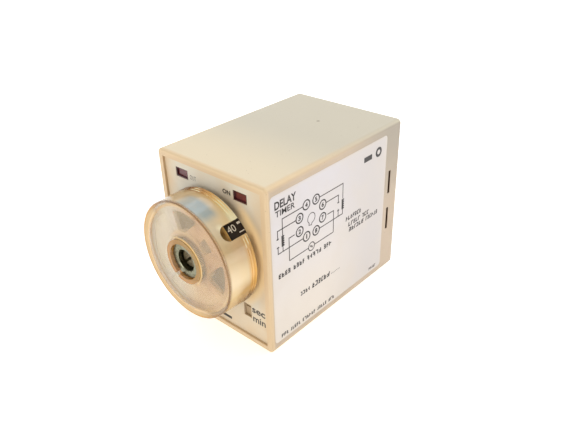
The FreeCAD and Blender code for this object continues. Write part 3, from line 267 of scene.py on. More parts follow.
def case_plastic():
    """Warm grey plastic, yellowed along the front rim and the long edges; painted shade keeps its sides
    darker than its top and darkens the insides of its slots.
    """
    paint = Paint("case_plastic", IOR=1.5)
    x, y, z = paint.axes((0, FRONT, PLUG_Z))
    from_side = paint.math("SUBTRACT", CASE_HIGH.x, paint.math("ABSOLUTE", x))
    from_end = paint.math("SUBTRACT", CASE_HIGH.z - PLUG_Z, paint.math("ABSOLUTE", z))
    cloud = paint.noise(14.0)

    # Painted light and shade: the top is painted paler than the sides and darker towards the rear, and the
    # sides darker towards the rear and the top
    on_top = paint.smooth(paint.math("ABSOLUTE", from_end), 1.2 * MM, 0.4 * MM)
    top = paint.mix(paint.smooth(y, 4 * MM, 40 * MM), rgb(222, 208, 180), rgb(197, 190, 172))
    side = paint.mix(paint.smooth(cloud, 0.4, 0.7), rgb(190, 171, 150), rgb(184, 165, 143))
    rear_top_shade = paint.times(paint.smooth(z, -10 * MM, 28 * MM), paint.smooth(y, 30 * MM, 66 * MM))
    side = paint.mix(rear_top_shade, side, rgb(160, 150, 136))
    colour = paint.mix(on_top, side, top)

    # Age shows on the front rim and in patches along the long edges
    near_edge = paint.smooth(paint.most(from_side, from_end), 2.2 * MM, 0.5 * MM)
    patchy = paint.times(paint.range(cloud, 0.2, 0.9), paint.smooth(y, 62 * MM, 12 * MM))
    rim = paint.times(paint.smooth(y, 2.0 * MM, 0.7 * MM), 0.75)
    aged = paint.most(rim, paint.times(near_edge, patchy))
    colour = paint.mix(aged, colour, rgb(220, 192, 150))

    # Specks, the round gate mark on top, and painted shade on the insides of the slots
    speck = paint.smooth(paint.noise(0.9, 2.0), 0.735, 0.76)
    colour = paint.mix(paint.times(speck, 0.35), colour, rgb(120, 98, 66))
    mark = paint.smooth(paint.distance(GATE_MARK), 0.75 * MM, 0.45 * MM)
    colour = paint.mix(paint.times(mark, 0.6), colour, rgb(112, 92, 64))
    slot_shade = paint.times(
        paint.smooth(from_side, 0.1 * MM, 0.3 * MM),
        paint.smooth(from_end, 3 * MM, 4 * MM),
        paint.smooth(y, 3 * MM, 4 * MM),
        paint.smooth(y, CASE_LENGTH - 0.2 * MM, CASE_LENGTH - 0.6 * MM),
    )
    paint.set(Base_Color=paint.mix(slot_shade, colour, rgb(74, 50, 30)))
    grain = paint.noise(0.22, 4.0)
    rough = paint.range(grain, 0.36, 0.5)
    paint.set(Roughness=paint.math("SUBTRACT", rough, paint.times(paint.edges(0.3), 0.1)))
    paint.bump(grain, 0.006)
    return paint.material


def plate_plastic():
    """The front plate: matt grey cream, yellower towards its edges, with painted shade and a painted amber
    glow beside the dial.
    """
    paint = Paint("plate_plastic", IOR=1.46)
    x, _, z = paint.axes((0, 0, PLUG_Z))
    radius, _ = dial_radius(paint)
    side = paint.smooth(paint.math("ABSOLUTE", x), 15 * MM, 21.5 * MM)
    low = paint.smooth(z, -4 * MM, -26 * MM)
    cloud = paint.smooth(paint.noise(7.0), 0.4, 0.7)
    yellowed = paint.most(paint.times(side, 0.6), paint.times(low, 0.45))
    aged = paint.math("ADD", yellowed, paint.times(cloud, 0.2))
    body = paint.mix(aged, rgb(214, 208, 192), rgb(214, 187, 148))
    # Painted shade on the plate to the upper right of the dial
    shaded = paint.times(
        paint.smooth(radius, COVER_RADIUS + 6 * MM, COVER_RADIUS),
        paint.smooth(x, 0.0, 8 * MM),
        paint.smooth(z, 4 * MM, 16 * MM),
    )
    body = paint.mix(paint.times(shaded, 0.5), body, rgb(168, 142, 108))
    # A painted amber glow, for light coming through the dial's cover onto the plate
    plate_amber_glow = paint.times(
        paint.smooth(radius, COVER_RADIUS + 3.5 * MM, COVER_RADIUS),
        paint.smooth(x, 9 * MM, 16 * MM),
    )
    paint.set(Base_Color=paint.mix(plate_amber_glow, body, rgb(246, 214, 160)))
    grain = paint.noise(0.18)
    return paint.surface(grain, 0.42, 0.58, 0.006)


def label_film():
    """Satin white film with a faint lilac cast, a little grubby, with painted shade in yellow grey near its
    edges and greyer towards the back.
    """
    paint = Paint("label_film", IOR=1.48, Coat_Weight=0.15, Coat_Roughness=0.25)
    centre_y = (LABEL_LOW.y + LABEL_HIGH.y) / 2
    centre_z = (LABEL_LOW.z + LABEL_HIGH.z) / 2
    _, y, z = paint.axes((0, centre_y, centre_z))
    across = paint.math("DIVIDE", paint.math("ABSOLUTE", y), (LABEL_HIGH.y - LABEL_LOW.y) / 2)
    upward = paint.math("DIVIDE", paint.math("ABSOLUTE", z), (LABEL_HIGH.z - LABEL_LOW.z) / 2)
    border = paint.smooth(paint.most(across, upward), 0.95, 1.0)
    cloud = paint.smooth(paint.noise(11.0), 0.4, 0.72)
    # The border's yellow grey is painted shade at the label's edge, and the cloud is grubbiness
    grime_and_edge_shade = paint.math("ADD", paint.times(border, 0.35), paint.times(cloud, 0.25))
    body = paint.mix(paint.smooth(z, -24 * MM, 24 * MM), rgb(218, 209, 200), rgb(207, 203, 208))
    # Painted shade: the film is greyer towards the back
    body = paint.mix(paint.smooth(y, -10 * MM, 26 * MM), body, rgb(198, 192, 191))
    paint.set(Base_Color=paint.mix(grime_and_edge_shade, body, rgb(208, 197, 184)))
    paint.set(Roughness=paint.range(paint.noise(0.5), 0.3, 0.42))
    paint.bump(paint.noise(3.0), 0.02)
    return paint.material


# Colours round the dial's skirt, with painted highlights and painted shade, at its front, its middle and its
# rear, by angle clockwise from the top

SKIRT_GOLD = rgb(252, 230, 186)
SKIRT_FRONT_LIGHT_AND_SHADE = (
    (-60, SKIRT_GOLD),
    (-20, rgb(214, 190, 154)),
    (40, rgb(218, 204, 172)),
    (62, rgb(203, 178, 134)),
    (90, rgb(249, 230, 194)),
    (105, rgb(234, 206, 153)),
    (120, rgb(229, 192, 137)),
    (135, rgb(228, 202, 146)),
    (170, SKIRT_GOLD),
)
SKIRT_MIDDLE_LIGHT_AND_SHADE = (
    (-60, SKIRT_GOLD),
    (-20, rgb(214, 182, 134)),
    (40, rgb(246, 222, 174)),
    (62, rgb(206, 174, 130)),
    (90, rgb(250, 228, 184)),
    (105, rgb(210, 170, 108)),
    (120, rgb(184, 142, 88)),
    (135, rgb(216, 180, 124)),
    (170, SKIRT_GOLD),
)
SKIRT_REAR_LIGHT_AND_SHADE = (
    (-20, rgb(142, 98, 44)),
    (-5, rgb(180, 118, 48)),
    (10, rgb(232, 184, 112)),
    (25, rgb(255, 222, 150)),
    (40, rgb(255, 252, 212)),
    (62, rgb(212, 168, 104)),
    (90, rgb(248, 198, 116)),
    (105, rgb(220, 170, 92)),
    (120, rgb(116, 82, 44)),
    (135, rgb(150, 112, 66)),
    (170, rgb(184, 142, 86)),
)


class CoverPaint(Paint):
    """The clear dial cover's material, with masks for the parts of the cover that look different."""

    def __init__(self):
        super().__init__("clear_cover", IOR=1.49, Specular_IOR_Level=0.6)
        # x, z and the radius are measured from the dial's axis, and y from the case's front rim
        self.radius, self.y = dial_radius(self)
        self.x, _, self.z = self.axes((DIAL_X, FRONT, DIAL_Z))
        self.patchy = self.smooth(self.noise(4.0), 0.35, 0.7)

        # 0 at the lower left of the dial and 1 at its upper right, as the painted light in its amber edges
        # differs from side to side
        slope = self.math("ADD", self.x, self.times(self.z, 0.7))
        self.around = self.smooth(slope, -9 * MM, 9 * MM)
        self.lower_left = self.range(self.around, 1.0, 0.0)

        # The pane's front, the skirt's inner wall and the skirt's rear end
        self.on_face = self.smooth(self.y, COVER_FACE + 1.4 * MM, COVER_FACE + 1.0 * MM)
        self.inside = self.smooth(self.radius, SKIRT_INSIDE + 0.5 * MM, SKIRT_INSIDE + 0.2 * MM)
        self.rear = self.smooth(self.y, COVER_BACK - 3.6 * MM, COVER_BACK - 1.8 * MM)

        # The amber ring at the pane's edge, painted light that the edge gathers, which is narrower at the
        # upper right, and the skirt beside it
        narrowed = self.math("SUBTRACT", self.radius, self.times(self.around, 2.0 * MM))
        from_rim = self.math("SUBTRACT", narrowed, COVER_RADIUS - 2.9 * MM)
        near_face = self.smooth(self.y, COVER_FACE + 1.9 * MM, COVER_FACE + 0.6 * MM)
        self.rim = self.times(self.smooth(from_rim, 0.0, 0.4 * MM), near_face)
        outer_wall = self.smooth(self.radius, SKIRT_INSIDE + 0.4 * MM, SKIRT_INSIDE + 0.8 * MM)
        forward = self.smooth(self.y, -10.2 * MM, -10.8 * MM)
        self.beside_rim = self.times(outer_wall, forward, self.lower_left)

        # The hub's ring of painted amber light, the painted glow to its right, and the painted golden light
        # inside the pane's left edge
        self.hub = self.smooth(self.radius, BUSH_RADIUS + 1.8 * MM, BUSH_RADIUS + 1.4 * MM)
        beside_hub = self.smooth(self.radius, BUSH_RADIUS + 3.0 * MM, BUSH_RADIUS + 2.0 * MM)
        self.glow = self.times(beside_hub, self.around)
        self.gild = self.times(self.smooth(self.radius, 15.8 * MM, 17.6 * MM), self.lower_left, self.on_face)
        self.sparkle = self.times(self.smooth(self.distance(BRIGHT_SPOT), 1.7 * MM, 0.1 * MM), 0.8)

    def ring_colours(self, stops):
        """Colours round the dial: a stop is an angle clockwise from the top, in degrees, and a colour."""
        turns = self.math("DIVIDE", self.math("ARCTAN2", self.x, self.z), 2 * math.pi)
        node = self.node("ValToRGB", {"Fac": self.math("ADD", turns, 0.5)})
        elements = node.color_ramp.elements
        node.color_ramp.interpolation = "EASE"
        elements[0].color = stops[-1][1]
        elements[1].color = stops[-1][1]
        for angle, colour in stops:
            elements.new(angle / 360 + 0.5).color = colour
        return node.outputs[0]

    def skirt_colours(self):
        """Golden plastic with painted light and shade that change round the skirt and along it, and a
        painted bluish reflection on top.
        """
        # A painted reflection of the sky lamp, as a bluish patch on the skirt's top
        sideways = self.math("ABSOLUTE", self.math("SUBTRACT", self.x, 6 * MM))
        sky_reflection = self.times(
            self.smooth(self.math("SUBTRACT", self.z, sideways), 10.5 * MM, 16 * MM),
            self.smooth(self.y, COVER_FACE + 0.2 * MM, COVER_FACE + MM),
            self.smooth(self.y, -5 * MM, -7.5 * MM),
            0.8,
        )
        front = self.ring_colours(SKIRT_FRONT_LIGHT_AND_SHADE)
        middle = self.ring_colours(SKIRT_MIDDLE_LIGHT_AND_SHADE)
        colours = self.mix(self.smooth(self.y, -10 * MM, -6 * MM), front, middle)
        colours = self.mix(sky_reflection, colours, rgb(142, 171, 182))
        colours = self.mix(self.rear, colours, self.ring_colours(SKIRT_REAR_LIGHT_AND_SHADE))
        colours = self.mix(self.times(self.patchy, 0.15), colours, rgb(244, 216, 168))
        return self.mix(self.inside, colours, rgb(248, 224, 178))

    def pane_colours(self):
        """The haze of the pane, with painted golden light inside its left edge."""
        colours = self.mix(self.patchy, rgb(238, 222, 192), rgb(230, 212, 190))
        return self.mix(self.times(self.gild, 0.8), colours, rgb(238, 192, 120))

    def glints(self):
        """Bright lines in the two grooves near the back, and the bright spot beside the slot."""
        wave = self.times(self.math("ADD", self.y, 2.6 * MM), 2 * math.pi / MM)
        grooves = self.smooth(self.math("SINE", wave), -0.1, 0.6)
        grooves = self.times(grooves, self.smooth(self.y, -3.9 * MM, -3.5 * MM))
        near_slot = self.times(self.smooth(self.x, 2 * MM, 9 * MM), self.smooth(self.x, 15 * MM, 13 * MM))
        uneven = self.times(self.smooth(self.noise(7.0), 0.42, 0.55), self.smooth(self.z, 0.0, 8 * MM))
        return self.most(self.times(grooves, self.most(near_slot, uneven)), self.sparkle)

    def rim_amber(self):
        """The ring at the pane's edge, painted light that the edge gathers: amber at the lower left, brown
        at the upper right.
        """
        outermost = self.smooth(self.radius, SKIRT_INSIDE, SKIRT_INSIDE + 0.7 * MM)
        amber = self.mix(outermost, rgb(208, 173, 115), rgb(204, 152, 72))
        return self.mix(self.around, amber, rgb(128, 88, 46))

    def hub_amber(self):
        """The hub's ring, painted amber light: strong at the lower left, duller at the upper right."""
        return self.mix(self.around, rgb(178, 118, 32), rgb(162, 126, 62))

    def cover(self):
        """How much of what is behind each part hides: the pane is clearest and the rear end least clear."""
        wall = self.most(self.range(self.on_face, 0.78, 0.3), self.times(self.rear, 0.95))
        behind_pane = self.times(self.inside, self.range(self.on_face, 1.0, 0.0))
        wall = self.times(wall, self.range(behind_pane, 1.0, 0.175))
        edge = self.times(self.most(self.rim, self.beside_rim), self.range(self.around, 0.9, 0.75))
        return self.most(
            wall,
            edge,
            self.times(self.glow, 0.75),
            self.times(self.sparkle, 0.9),
            self.times(self.gild, 0.75),
            self.times(self.hub, 0.85),
        )


def clear_cover():
    """Clear plastic, hazy over its faces and amber where its edges gather light."""
    paint = CoverPaint()
    haze = paint.mix(paint.on_face, paint.skirt_colours(), paint.pane_colours())
    haze = paint.mix(paint.glints(), haze, rgb(255, 246, 208))
    haze = paint.mix(paint.glow, haze, rgb(250, 212, 146))
    haze = paint.mix(paint.rim, haze, paint.rim_amber())
    paint.set(Base_Color=paint.mix(paint.hub, haze, paint.hub_amber()))
    paint.set(Alpha=paint.cover())
    scratch = paint.smooth(paint.noise(0.5, 5.0, (1, 0.15, 1)), 0.45, 0.8)
    paint.set(Roughness=paint.range(scratch, 0.07, 0.2))
    paint.bump(paint.noise(1.6), 0.012)
    return paint.material


def wheel_plastic():
    """Pale translucent wheel inside the cover, warmer on one side, golden on its sleeve, and with a painted
    golden glow round its hub on its upper side.
    """
    paint = Paint("wheel_plastic", IOR=1.5, Alpha=0.82, Subsurface_Weight=0.15)
    paint.set(Subsurface_Radius=(1.0, 0.6, 0.3), Subsurface_Scale=0.8 * MM)
    radius, y = dial_radius(paint)
    x, _, z = paint.axes((DIAL_X, FRONT, DIAL_Z))
    sleeve = paint.smooth(radius, 17.6 * MM, 18.1 * MM)
    rear = paint.smooth(y, -6.5 * MM, -2.5 * MM)
    cloud = paint.smooth(paint.noise(3.5), 0.4, 0.7)
    pale = paint.mix(cloud, rgb(234, 230, 216), rgb(222, 216, 202))
    warm = paint.mix(cloud, rgb(214, 168, 112), rgb(192, 142, 88))
    low_warm = paint.mix(cloud, rgb(232, 196, 146), rgb(214, 170, 120))
    warm = paint.mix(paint.smooth(z, -4 * MM, -9 * MM), warm, low_warm)
    web = paint.mix(paint.smooth(x, -8 * MM, 5 * MM), pale, warm)
    # A painted golden glow on the upper side, round the hub
    collar_glow = paint.times(paint.smooth(radius, 10.6 * MM, 9.2 * MM), paint.smooth(z, 3 * MM, 8 * MM))
    web = paint.mix(paint.times(collar_glow, 0.7), web, rgb(250, 214, 156))
    skirt = paint.mix(rear, rgb(244, 210, 154), rgb(214, 172, 108))
    paint.set(Base_Color=paint.mix(sleeve, web, skirt))
    grain = paint.noise(0.4)
    return paint.surface(grain, 0.28, 0.4, 0.003)


def drum_plastic():
    """The fixed drum: olive tan inside, black under the scale band, and pale on its front edge."""
    paint = Paint("drum_plastic", IOR=1.48)
    radius, y = dial_radius(paint)
    edge = paint.smooth(y, -5.3 * MM, -5.5 * MM)
    cloud = paint.smooth(paint.noise(3.0), 0.4, 0.7)
    inner = paint.mix(cloud, rgb(236, 204, 128), rgb(216, 180, 104))
    outer = paint.mix(edge, rgb(22, 17, 14), rgb(240, 204, 124))
    paint.set(Base_Color=paint.mix(paint.smooth(radius, 16.4 * MM, 16.6 * MM), inner, outer))
    grain = paint.noise(0.3)
    return paint.surface(grain, 0.45, 0.6, 0.01)


def red_window():
    """Dark red window, with painted shade along its edges."""
    paint = Paint("red_lens", IOR=1.5, Coat_Weight=0.3, Coat_Roughness=0.15)
    cloud = paint.smooth(paint.noise(1.4), 0.35, 0.7)
    body = paint.mix(cloud, rgb(100, 28, 34), rgb(76, 20, 28))
    # Painted shade: darker along the edges, for the shaded walls of the window's recess
    paint.set(Base_Color=paint.mix(paint.edges(0.5), body, rgb(40, 12, 16)))
    grain = paint.noise(0.35)
    return paint.surface(grain, 0.3, 0.42, 0.01)


def laminate(name, colour, shade):
    """Phenolic board: paper fibres one way."""
    paint = Paint(name, IOR=1.5)
    fibres = paint.noise(0.5, 4.0, (1, 0.12, 1))
    cloud = paint.smooth(paint.noise(6.0), 0.4, 0.7)
    body = paint.mix(cloud, colour, shade)
    paint.set(Base_Color=paint.mix(paint.times(fibres, 0.3), body, rgb(150, 112, 62)))
    return paint.surface(fibres, 0.34, 0.5, 0.015)


def wound(name, colour, shade, axis, pitch_mm, roughness, **sockets):
    """Turns of wire or tape laid side by side along an axis."""
    paint = Paint(name, **sockets)
    along = paint.axes()[axis]
    phase = paint.times(along, 2 * math.pi / (pitch_mm * MM))
    turns = paint.range(paint.math("SINE", phase), 0.0, 0.5)
    cloud = paint.noise(1.5)
    body = paint.mix(paint.smooth(cloud, 0.4, 0.7), colour, shade)
    paint.set(Base_Color=paint.mix(paint.times(turns, 0.25), body, rgb(40, 22, 12)))
    paint.set(Roughness=paint.range(cloud, roughness - 0.05, roughness + 0.1))
    paint.bump(turns, 0.03)
    return paint.material


def laminations():
    """A stack of thin varnished sheets, so fine lines run across X."""
    paint = Paint("lamination", Metallic=0.75)
    x = paint.axes()[0]
    sheets = paint.range(paint.math("SINE", paint.times(x, 2 * math.pi / (0.5 * MM))), 0.0, 0.5)
    rust = paint.smooth(paint.noise(2.2), 0.55, 0.75)
    steel = paint.mix(sheets, rgb(104, 102, 100), rgb(66, 64, 62))
    paint.set(Base_Color=paint.mix(paint.times(rust, 0.6), steel, rgb(112, 74, 44)))
    paint.set(Roughness=paint.range(paint.noise(0.6), 0.35, 0.55))
    paint.bump(sheets, 0.03)
    return paint.material


def banded(name, node, body, bands, offsets_mm, width_mm):
    """Small axial parts with painted bands at fixed distances from each part's middle."""
    paint = Paint(name)
    y = paint.axes()[1]
    colour = body
    for place in middles(node):
        for offset, band in zip(offsets_mm, bands):
            away = paint.math("ABSOLUTE", paint.math("SUBTRACT", y, place + offset * MM))
            share = paint.smooth(away, (width_mm / 2 + 0.05) * MM, (width_mm / 2 - 0.05) * MM)
            colour = paint.mix(share, colour, band)
    grain = paint.noise(0.3)
    paint.set(Base_Color=paint.mix(paint.times(grain, 0.15), colour, rgb(60, 50, 40)))
    return paint.surface(grain, 0.4, 0.55, 0.01)


def relay_window():
    """Thin clear cover of the relay."""
    paint = Paint("relay_window", IOR=1.5)
    cloud = paint.noise(5.0)
    paint.set(Base_Color=paint.mix(cloud, rgb(214, 218, 216), rgb(200, 204, 200)))
    paint.set(Alpha=paint.range(paint.edges(0.6), 0.25, 0.6))
    paint.set(Roughness=paint.range(cloud, 0.08, 0.16))
    paint.bump(paint.noise(2.0), 0.01)
    return paint.material


def ink(name, colour, worn):
    """Printing ink, thin in places."""
    paint = Paint(name)
    thin = paint.smooth(paint.noise(0.25, 4.0), 0.52, 0.8)
    paint.set(Base_Color=paint.mix(paint.times(thin, 0.5), colour, worn))
    return paint.surface(thin, 0.45, 0.6, 0.002)


def capacitor_sleeve():
    """Blue sleeve with a pale stripe, and a bare aluminium top."""
    paint = Paint("capacitor_sleeve", Coat_Weight=0.3, Coat_Roughness=0.15)
    _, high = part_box("filter_capacitors")
    x, _, z = paint.axes((high.x, 0, 0))
    top = paint.smooth(x, -0.35 * MM, -0.2 * MM)
    wave = paint.math("SINE", paint.times(z, 2 * math.pi / (12.5 * MM)))
    stripe = paint.smooth(wave, 0.93, 0.96)
    wrap = paint.mix(paint.times(stripe, 0.8), rgb(24, 34, 84), rgb(196, 200, 206))
    paint.set(Base_Color=paint.mix(top, wrap, rgb(190, 192, 194)))
    paint.set(Metallic=paint.times(top, 0.9))
    grain = paint.noise(0.8)
    return paint.surface(grain, 0.25, 0.4, 0.01)


def middles(node):
    """Where along Y the separate bodies of a node have their middles."""
    spots = sorted(vertex.co.y for vertex in NODES[node].data.vertices)
    groups = [[spots[0]]]
    for spot in spots[1:]:
        if spot - groups[-1][-1] > 2 * MM and spot - groups[-1][0] > 4 * MM:
            groups.append([spot])
        else:
            groups[-1].append(spot)
    return [(group[0] + group[-1]) / 2 for group in groups]


def make_materials():
    """One material for each slot of the record, and the inks."""
    chestnut, brown = rgb(128, 66, 32), rgb(108, 50, 26)
    resistor_bands = [rgb(110, 60, 30), rgb(30, 28, 26), rgb(190, 90, 30), rgb(190, 156, 70)]
    return {
        "case_plastic": case_plastic(),
        "plate_plastic": plate_plastic(),
        "label_film": label_film(),
        "red_lens": red_window(),
        "red_led": moulded("red_led", rgb(150, 24, 20), rgb(120, 16, 16), 0.3, Coat_Weight=0.3),
        "black_plastic": moulded("black_plastic", rgb(26, 25, 24), rgb(40, 38, 36), 0.45),
        "drum_plastic": drum_plastic(),
        "scale_print": ink("scale_print", rgb(20, 8, 14), rgb(34, 20, 20)),
        "clear_cover": clear_cover(),
        "wheel_plastic": wheel_plastic(),
        "turned_aluminium": bush_metal(),
        "shaft_steel": turned_metal("shaft_steel", rgb(128, 116, 92), rgb(92, 80, 60), 0.42),
        "plated_steel": metal("plated_steel", rgb(176, 176, 172), rgb(154, 152, 140), 0.32),
        "carbon_track": moulded("carbon_track", rgb(32, 31, 32), rgb(58, 46, 36), 0.4),
        "wiper_plastic": moulded("wiper_plastic", rgb(214, 208, 196), rgb(198, 192, 178), 0.4),
        "tinned_metal": metal("tinned_metal", rgb(198, 198, 194), rgb(170, 168, 162), 0.26),
        "selector_plastic": moulded("selector_plastic", rgb(188, 166, 134), rgb(168, 144, 110), 0.42),
        "circuit_board": laminate("circuit_board", rgb(120, 84, 44), rgb(98, 66, 34)),
        "plug_plastic": moulded("plug_plastic", rgb(44, 38, 34), rgb(30, 26, 24), 0.4, 0.6, 0.02),
        "plug_brass": metal("plug_brass", rgb(206, 198, 176), rgb(176, 156, 116), 0.28, (1, 0.1, 1)),
        "lamination": laminations(),
        "bobbin_plastic": moulded("bobbin_plastic", rgb(222, 216, 200), rgb(206, 198, 178), 0.42),
        "winding_tape": wound("winding_tape", rgb(214, 168, 62), rgb(190, 140, 44), 2, 4.5, 0.25),
        "copper_wire": wound("copper_wire", rgb(176, 92, 48), rgb(150, 70, 36), 0, 0.35, 0.3, Metallic=0.9),
        "relay_window": relay_window(),
        "soft_iron": metal("soft_iron", rgb(160, 160, 156), rgb(138, 134, 124), 0.36),
        "contact_metal": metal("contact_metal", rgb(196, 160, 104), rgb(170, 132, 84), 0.3),
        "spring_steel": metal("spring_steel", rgb(170, 170, 168), rgb(146, 146, 146), 0.24, (0.1, 1, 1)),
        "capacitor_sleeve": capacitor_sleeve(),
        "film_coat": moulded("film_coat", chestnut, brown, 0.25, 0.9, 0.03, Coat_Weight=0.4),
        "resistor_coat": banded(
            "resistor_coat", "resistors", rgb(202, 176, 128), resistor_bands, [-2.0, -0.9, 0.2, 2.1], 0.55
        ),
        "diode_body": banded("diode_body", "diodes", rgb(34, 32, 32), [rgb(196, 196, 192)], [1.4], 0.5),
        "dark_ink": ink("dark_ink", rgb(30, 22, 22), rgb(60, 48, 46)),
        "grey_ink": ink("grey_ink", rgb(92, 84, 76), rgb(138, 128, 116)),
        "white_ink": ink("white_ink", rgb(236, 232, 222), rgb(200, 192, 178)),
    }


def dress_nodes(materials):
    """Gives each CAD node the material of its slot in the record."""
    for entry in frame["record"]["subparts"]:
        mesh = NODES[entry["node"]].data
        mesh.materials.clear()
        mesh.materials.append(materials[entry["material_slot"]])


# Printing: flat outlines turned into very thin solids on a surface

INK_DEPTH = 0.004 * MM
INK_HEIGHT = 0.016 * MM


class Print:
    """Collects printed shapes. spot(u, v, height) gives the place of a point of the drawing."""

    def __init__(self, spot):
        self.spot = spot
        self.points = []
        self.faces = []

    def solid(self, outline):
        """A filled outline, given anticlockwise as (u, v) points."""
        first = len(self.points)
        count = len(outline)
        for height in (-INK_DEPTH, INK_HEIGHT):
            self.points += [self.spot(u, v, height) for u, v in outline]
        lower = [first + k for k in range(count)]
        upper = [first + count + k for k in range(count)]
        self.faces.append(lower[::-1])
        self.faces.append(upper)
        for k in range(count):
            after = (k + 1) % count
            self.faces.append([lower[k], lower[after], upper[after], upper[k]])

    def bar(self, u, v, width, height):
        """A rectangle, centred on (u, v)."""
        left, right = u - width / 2, u + width / 2
        low, high = v - height / 2, v + height / 2
        self.solid([(left, low), (right, low), (right, high), (left, high)])

    def ring(self, u, v, radius, width, count=40, start=0.0, sweep=2 * math.pi):
        """A ring, or part of one, built from short strips."""
        for k in range(count):
            ends = (start + sweep * k / count, start + sweep * (k + 1) / count)
            corners = []
            for turn, reach in ((ends[0], 1), (ends[1], 1), (ends[1], -1), (ends[0], -1)):
                away = radius + reach * width / 2
                corners.append((u + away * math.cos(turn), v + away * math.sin(turn)))
            self.solid(corners)

    def line(self, points, width):
        """A broken line with mitred corners."""
        left, right = [], []
        for k, (u, v) in enumerate(points):
            before = points[max(k - 1, 0)]
            after = points[min(k + 1, len(points) - 1)]
            directions = []
            for start, end in ((before, (u, v)), ((u, v), after)):
                step = Vector((end[0] - start[0], end[1] - start[1]))
                if step.length > 0:
                    directions.append(step.normalized())
            side = sum(directions, Vector((0, 0))).normalized()
            normal = Vector((-side.y, side.x))
            reach = width / 2 / max(0.4, side.dot(directions[0]))
            left.append((u + normal.x * reach, v + normal.y * reach))
            right.append((u - normal.x * reach, v - normal.y * reach))
        self.solid(right + left[::-1])

    def text(self, words, left, low, right, high, weight=0.0):
        """Lettering stretched to fill a box of the drawing. weight thickens its strokes."""
        curve = bpy.data.curves.new("lettering", "FONT")
        curve.body = words
        curve.size = high - low
        curve.offset = weight
        curve.extrude = 1.0
        curve.resolution_u = 3
        shown = bpy.data.objects.new("lettering", curve)
        mesh = bpy.data.meshes.new_from_object(shown)
        across = [vertex.co.x for vertex in mesh.vertices]
        upward = [vertex.co.y for vertex in mesh.vertices]
        stretch = (right - left) / (max(across) - min(across))
        grow = (high - low) / (max(upward) - min(upward))
        first = len(self.points)
        for vertex in mesh.vertices:
            u = left + (vertex.co.x - min(across)) * stretch
            v = low + (vertex.co.y - min(upward)) * grow
            self.points.append(self.spot(u, v, INK_HEIGHT if vertex.co.z > 0 else -INK_DEPTH))
        self.faces += [[first + k for k in face.vertices] for face in mesh.polygons]
        bpy.data.meshes.remove(mesh)
        bpy.data.objects.remove(shown)
        bpy.data.curves.remove(curve)

    def filler(self, u, v, length, height, seed, slant=0.0):
        """A line that only looks like small print: strokes in word-like groups, and no letters."""
        draw = random.Random(seed)
        place = u
        while place < u + length:
            for _ in range(draw.randint(3, 7)):
                wide = height * draw.uniform(0.45, 0.75)
                if place + wide > u + length:
                    return
                self.glyph(place, v, wide, height, draw, slant)
                place += wide + height * 0.24
            place += height * 0.7

    def glyph(self, u, v, wide, height, draw, slant):
        """One made-up character: an upright and one or two cross strokes."""
        stroke = height * 0.28

        def leaning(left, low, right, high):
            lean = slant * height
            at_low, at_high = lean * (low - v) / height, lean * (high - v) / height
            self.solid([
                (left + at_low, low), (right + at_low, low), (right + at_high, high), (left + at_high, high)
            ])

        left_side = draw.random() < 0.6
        edge = u if left_side else u + wide - stroke
        leaning(edge, v, edge + stroke, v + height)
        start, end = (u + stroke, u + wide) if left_side else (u, u + wide - stroke)
        for level in draw.sample((0.0, 0.4, 0.8), draw.choice((1, 2, 2, 3))):
            leaning(start, v + level * height, end, v + level * height + stroke)

    def piece(self, name, body, material):
        """Makes the collected shapes one object that rides a body and belongs to a material slot."""
        mesh = bpy.data.meshes.new(name)
        mesh.from_pydata(self.points, [], self.faces)
        mesh.validate()
        mesh.materials.append(material)
        shown = bpy.data.objects.new(name, mesh)
        bpy.context.scene.collection.objects.link(shown)
        weld = shown.modifiers.new("weld", "WELD")
        weld.merge_threshold = 0.001 * MM
        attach(shown, body)


def on_label(u, v, height):
    """The label is read from the right: u runs to the back and v up, from the case's front and foot."""
    return Vector((LABEL_HIGH.x + height, FRONT + u, CASE_LOW.z + v))


def on_panel(u, v, height):
    """The front plate is read from the front: u runs right from the middle, v up from the foot."""
    return Vector((u, PANEL - height, CASE_LOW.z + v))


def on_band(u, v, height):
    """The scale band: u runs anticlockwise round it from the top as an angle, v towards the panel."""
    radius = BAND_RADIUS + height
    return Vector((DIAL_X - radius * math.sin(u), BAND_LOW.y + v, DIAL_Z + radius * math.cos(u)))


# The label's drawing, in millimetres on the label

DIAGRAM_CENTRE = (20.1, 42.65)
PIN_CIRCLE = 6.15
PIN_RING = 1.62
PIN_RING_LINE = 0.46
LINE = 0.34
SOURCE = (20.1, 32.1)
SOURCE_RADIUS = 1.5
FIRST_PIN_ANGLE = -112.5
LEFT_LOAD, RIGHT_LOAD = 6.6, 36.4
LEFT_GAP, RIGHT_GAP = 4.4, 34.0
LEFT_SUPPLY, RIGHT_SUPPLY = 9.4, 31.5


def pin_spot(number):
    """Where a pin's ring stands on the label: the pins run clockwise from the lower left."""
    turn = math.radians(FIRST_PIN_ANGLE - 45 * (number - 1))
    return (
        DIAGRAM_CENTRE[0] + PIN_CIRCLE * math.cos(turn),
        DIAGRAM_CENTRE[1] + PIN_CIRCLE * math.sin(turn),
    )


def scaled(*values):
    """Millimetres as metres."""
    return [value * MM for value in values]


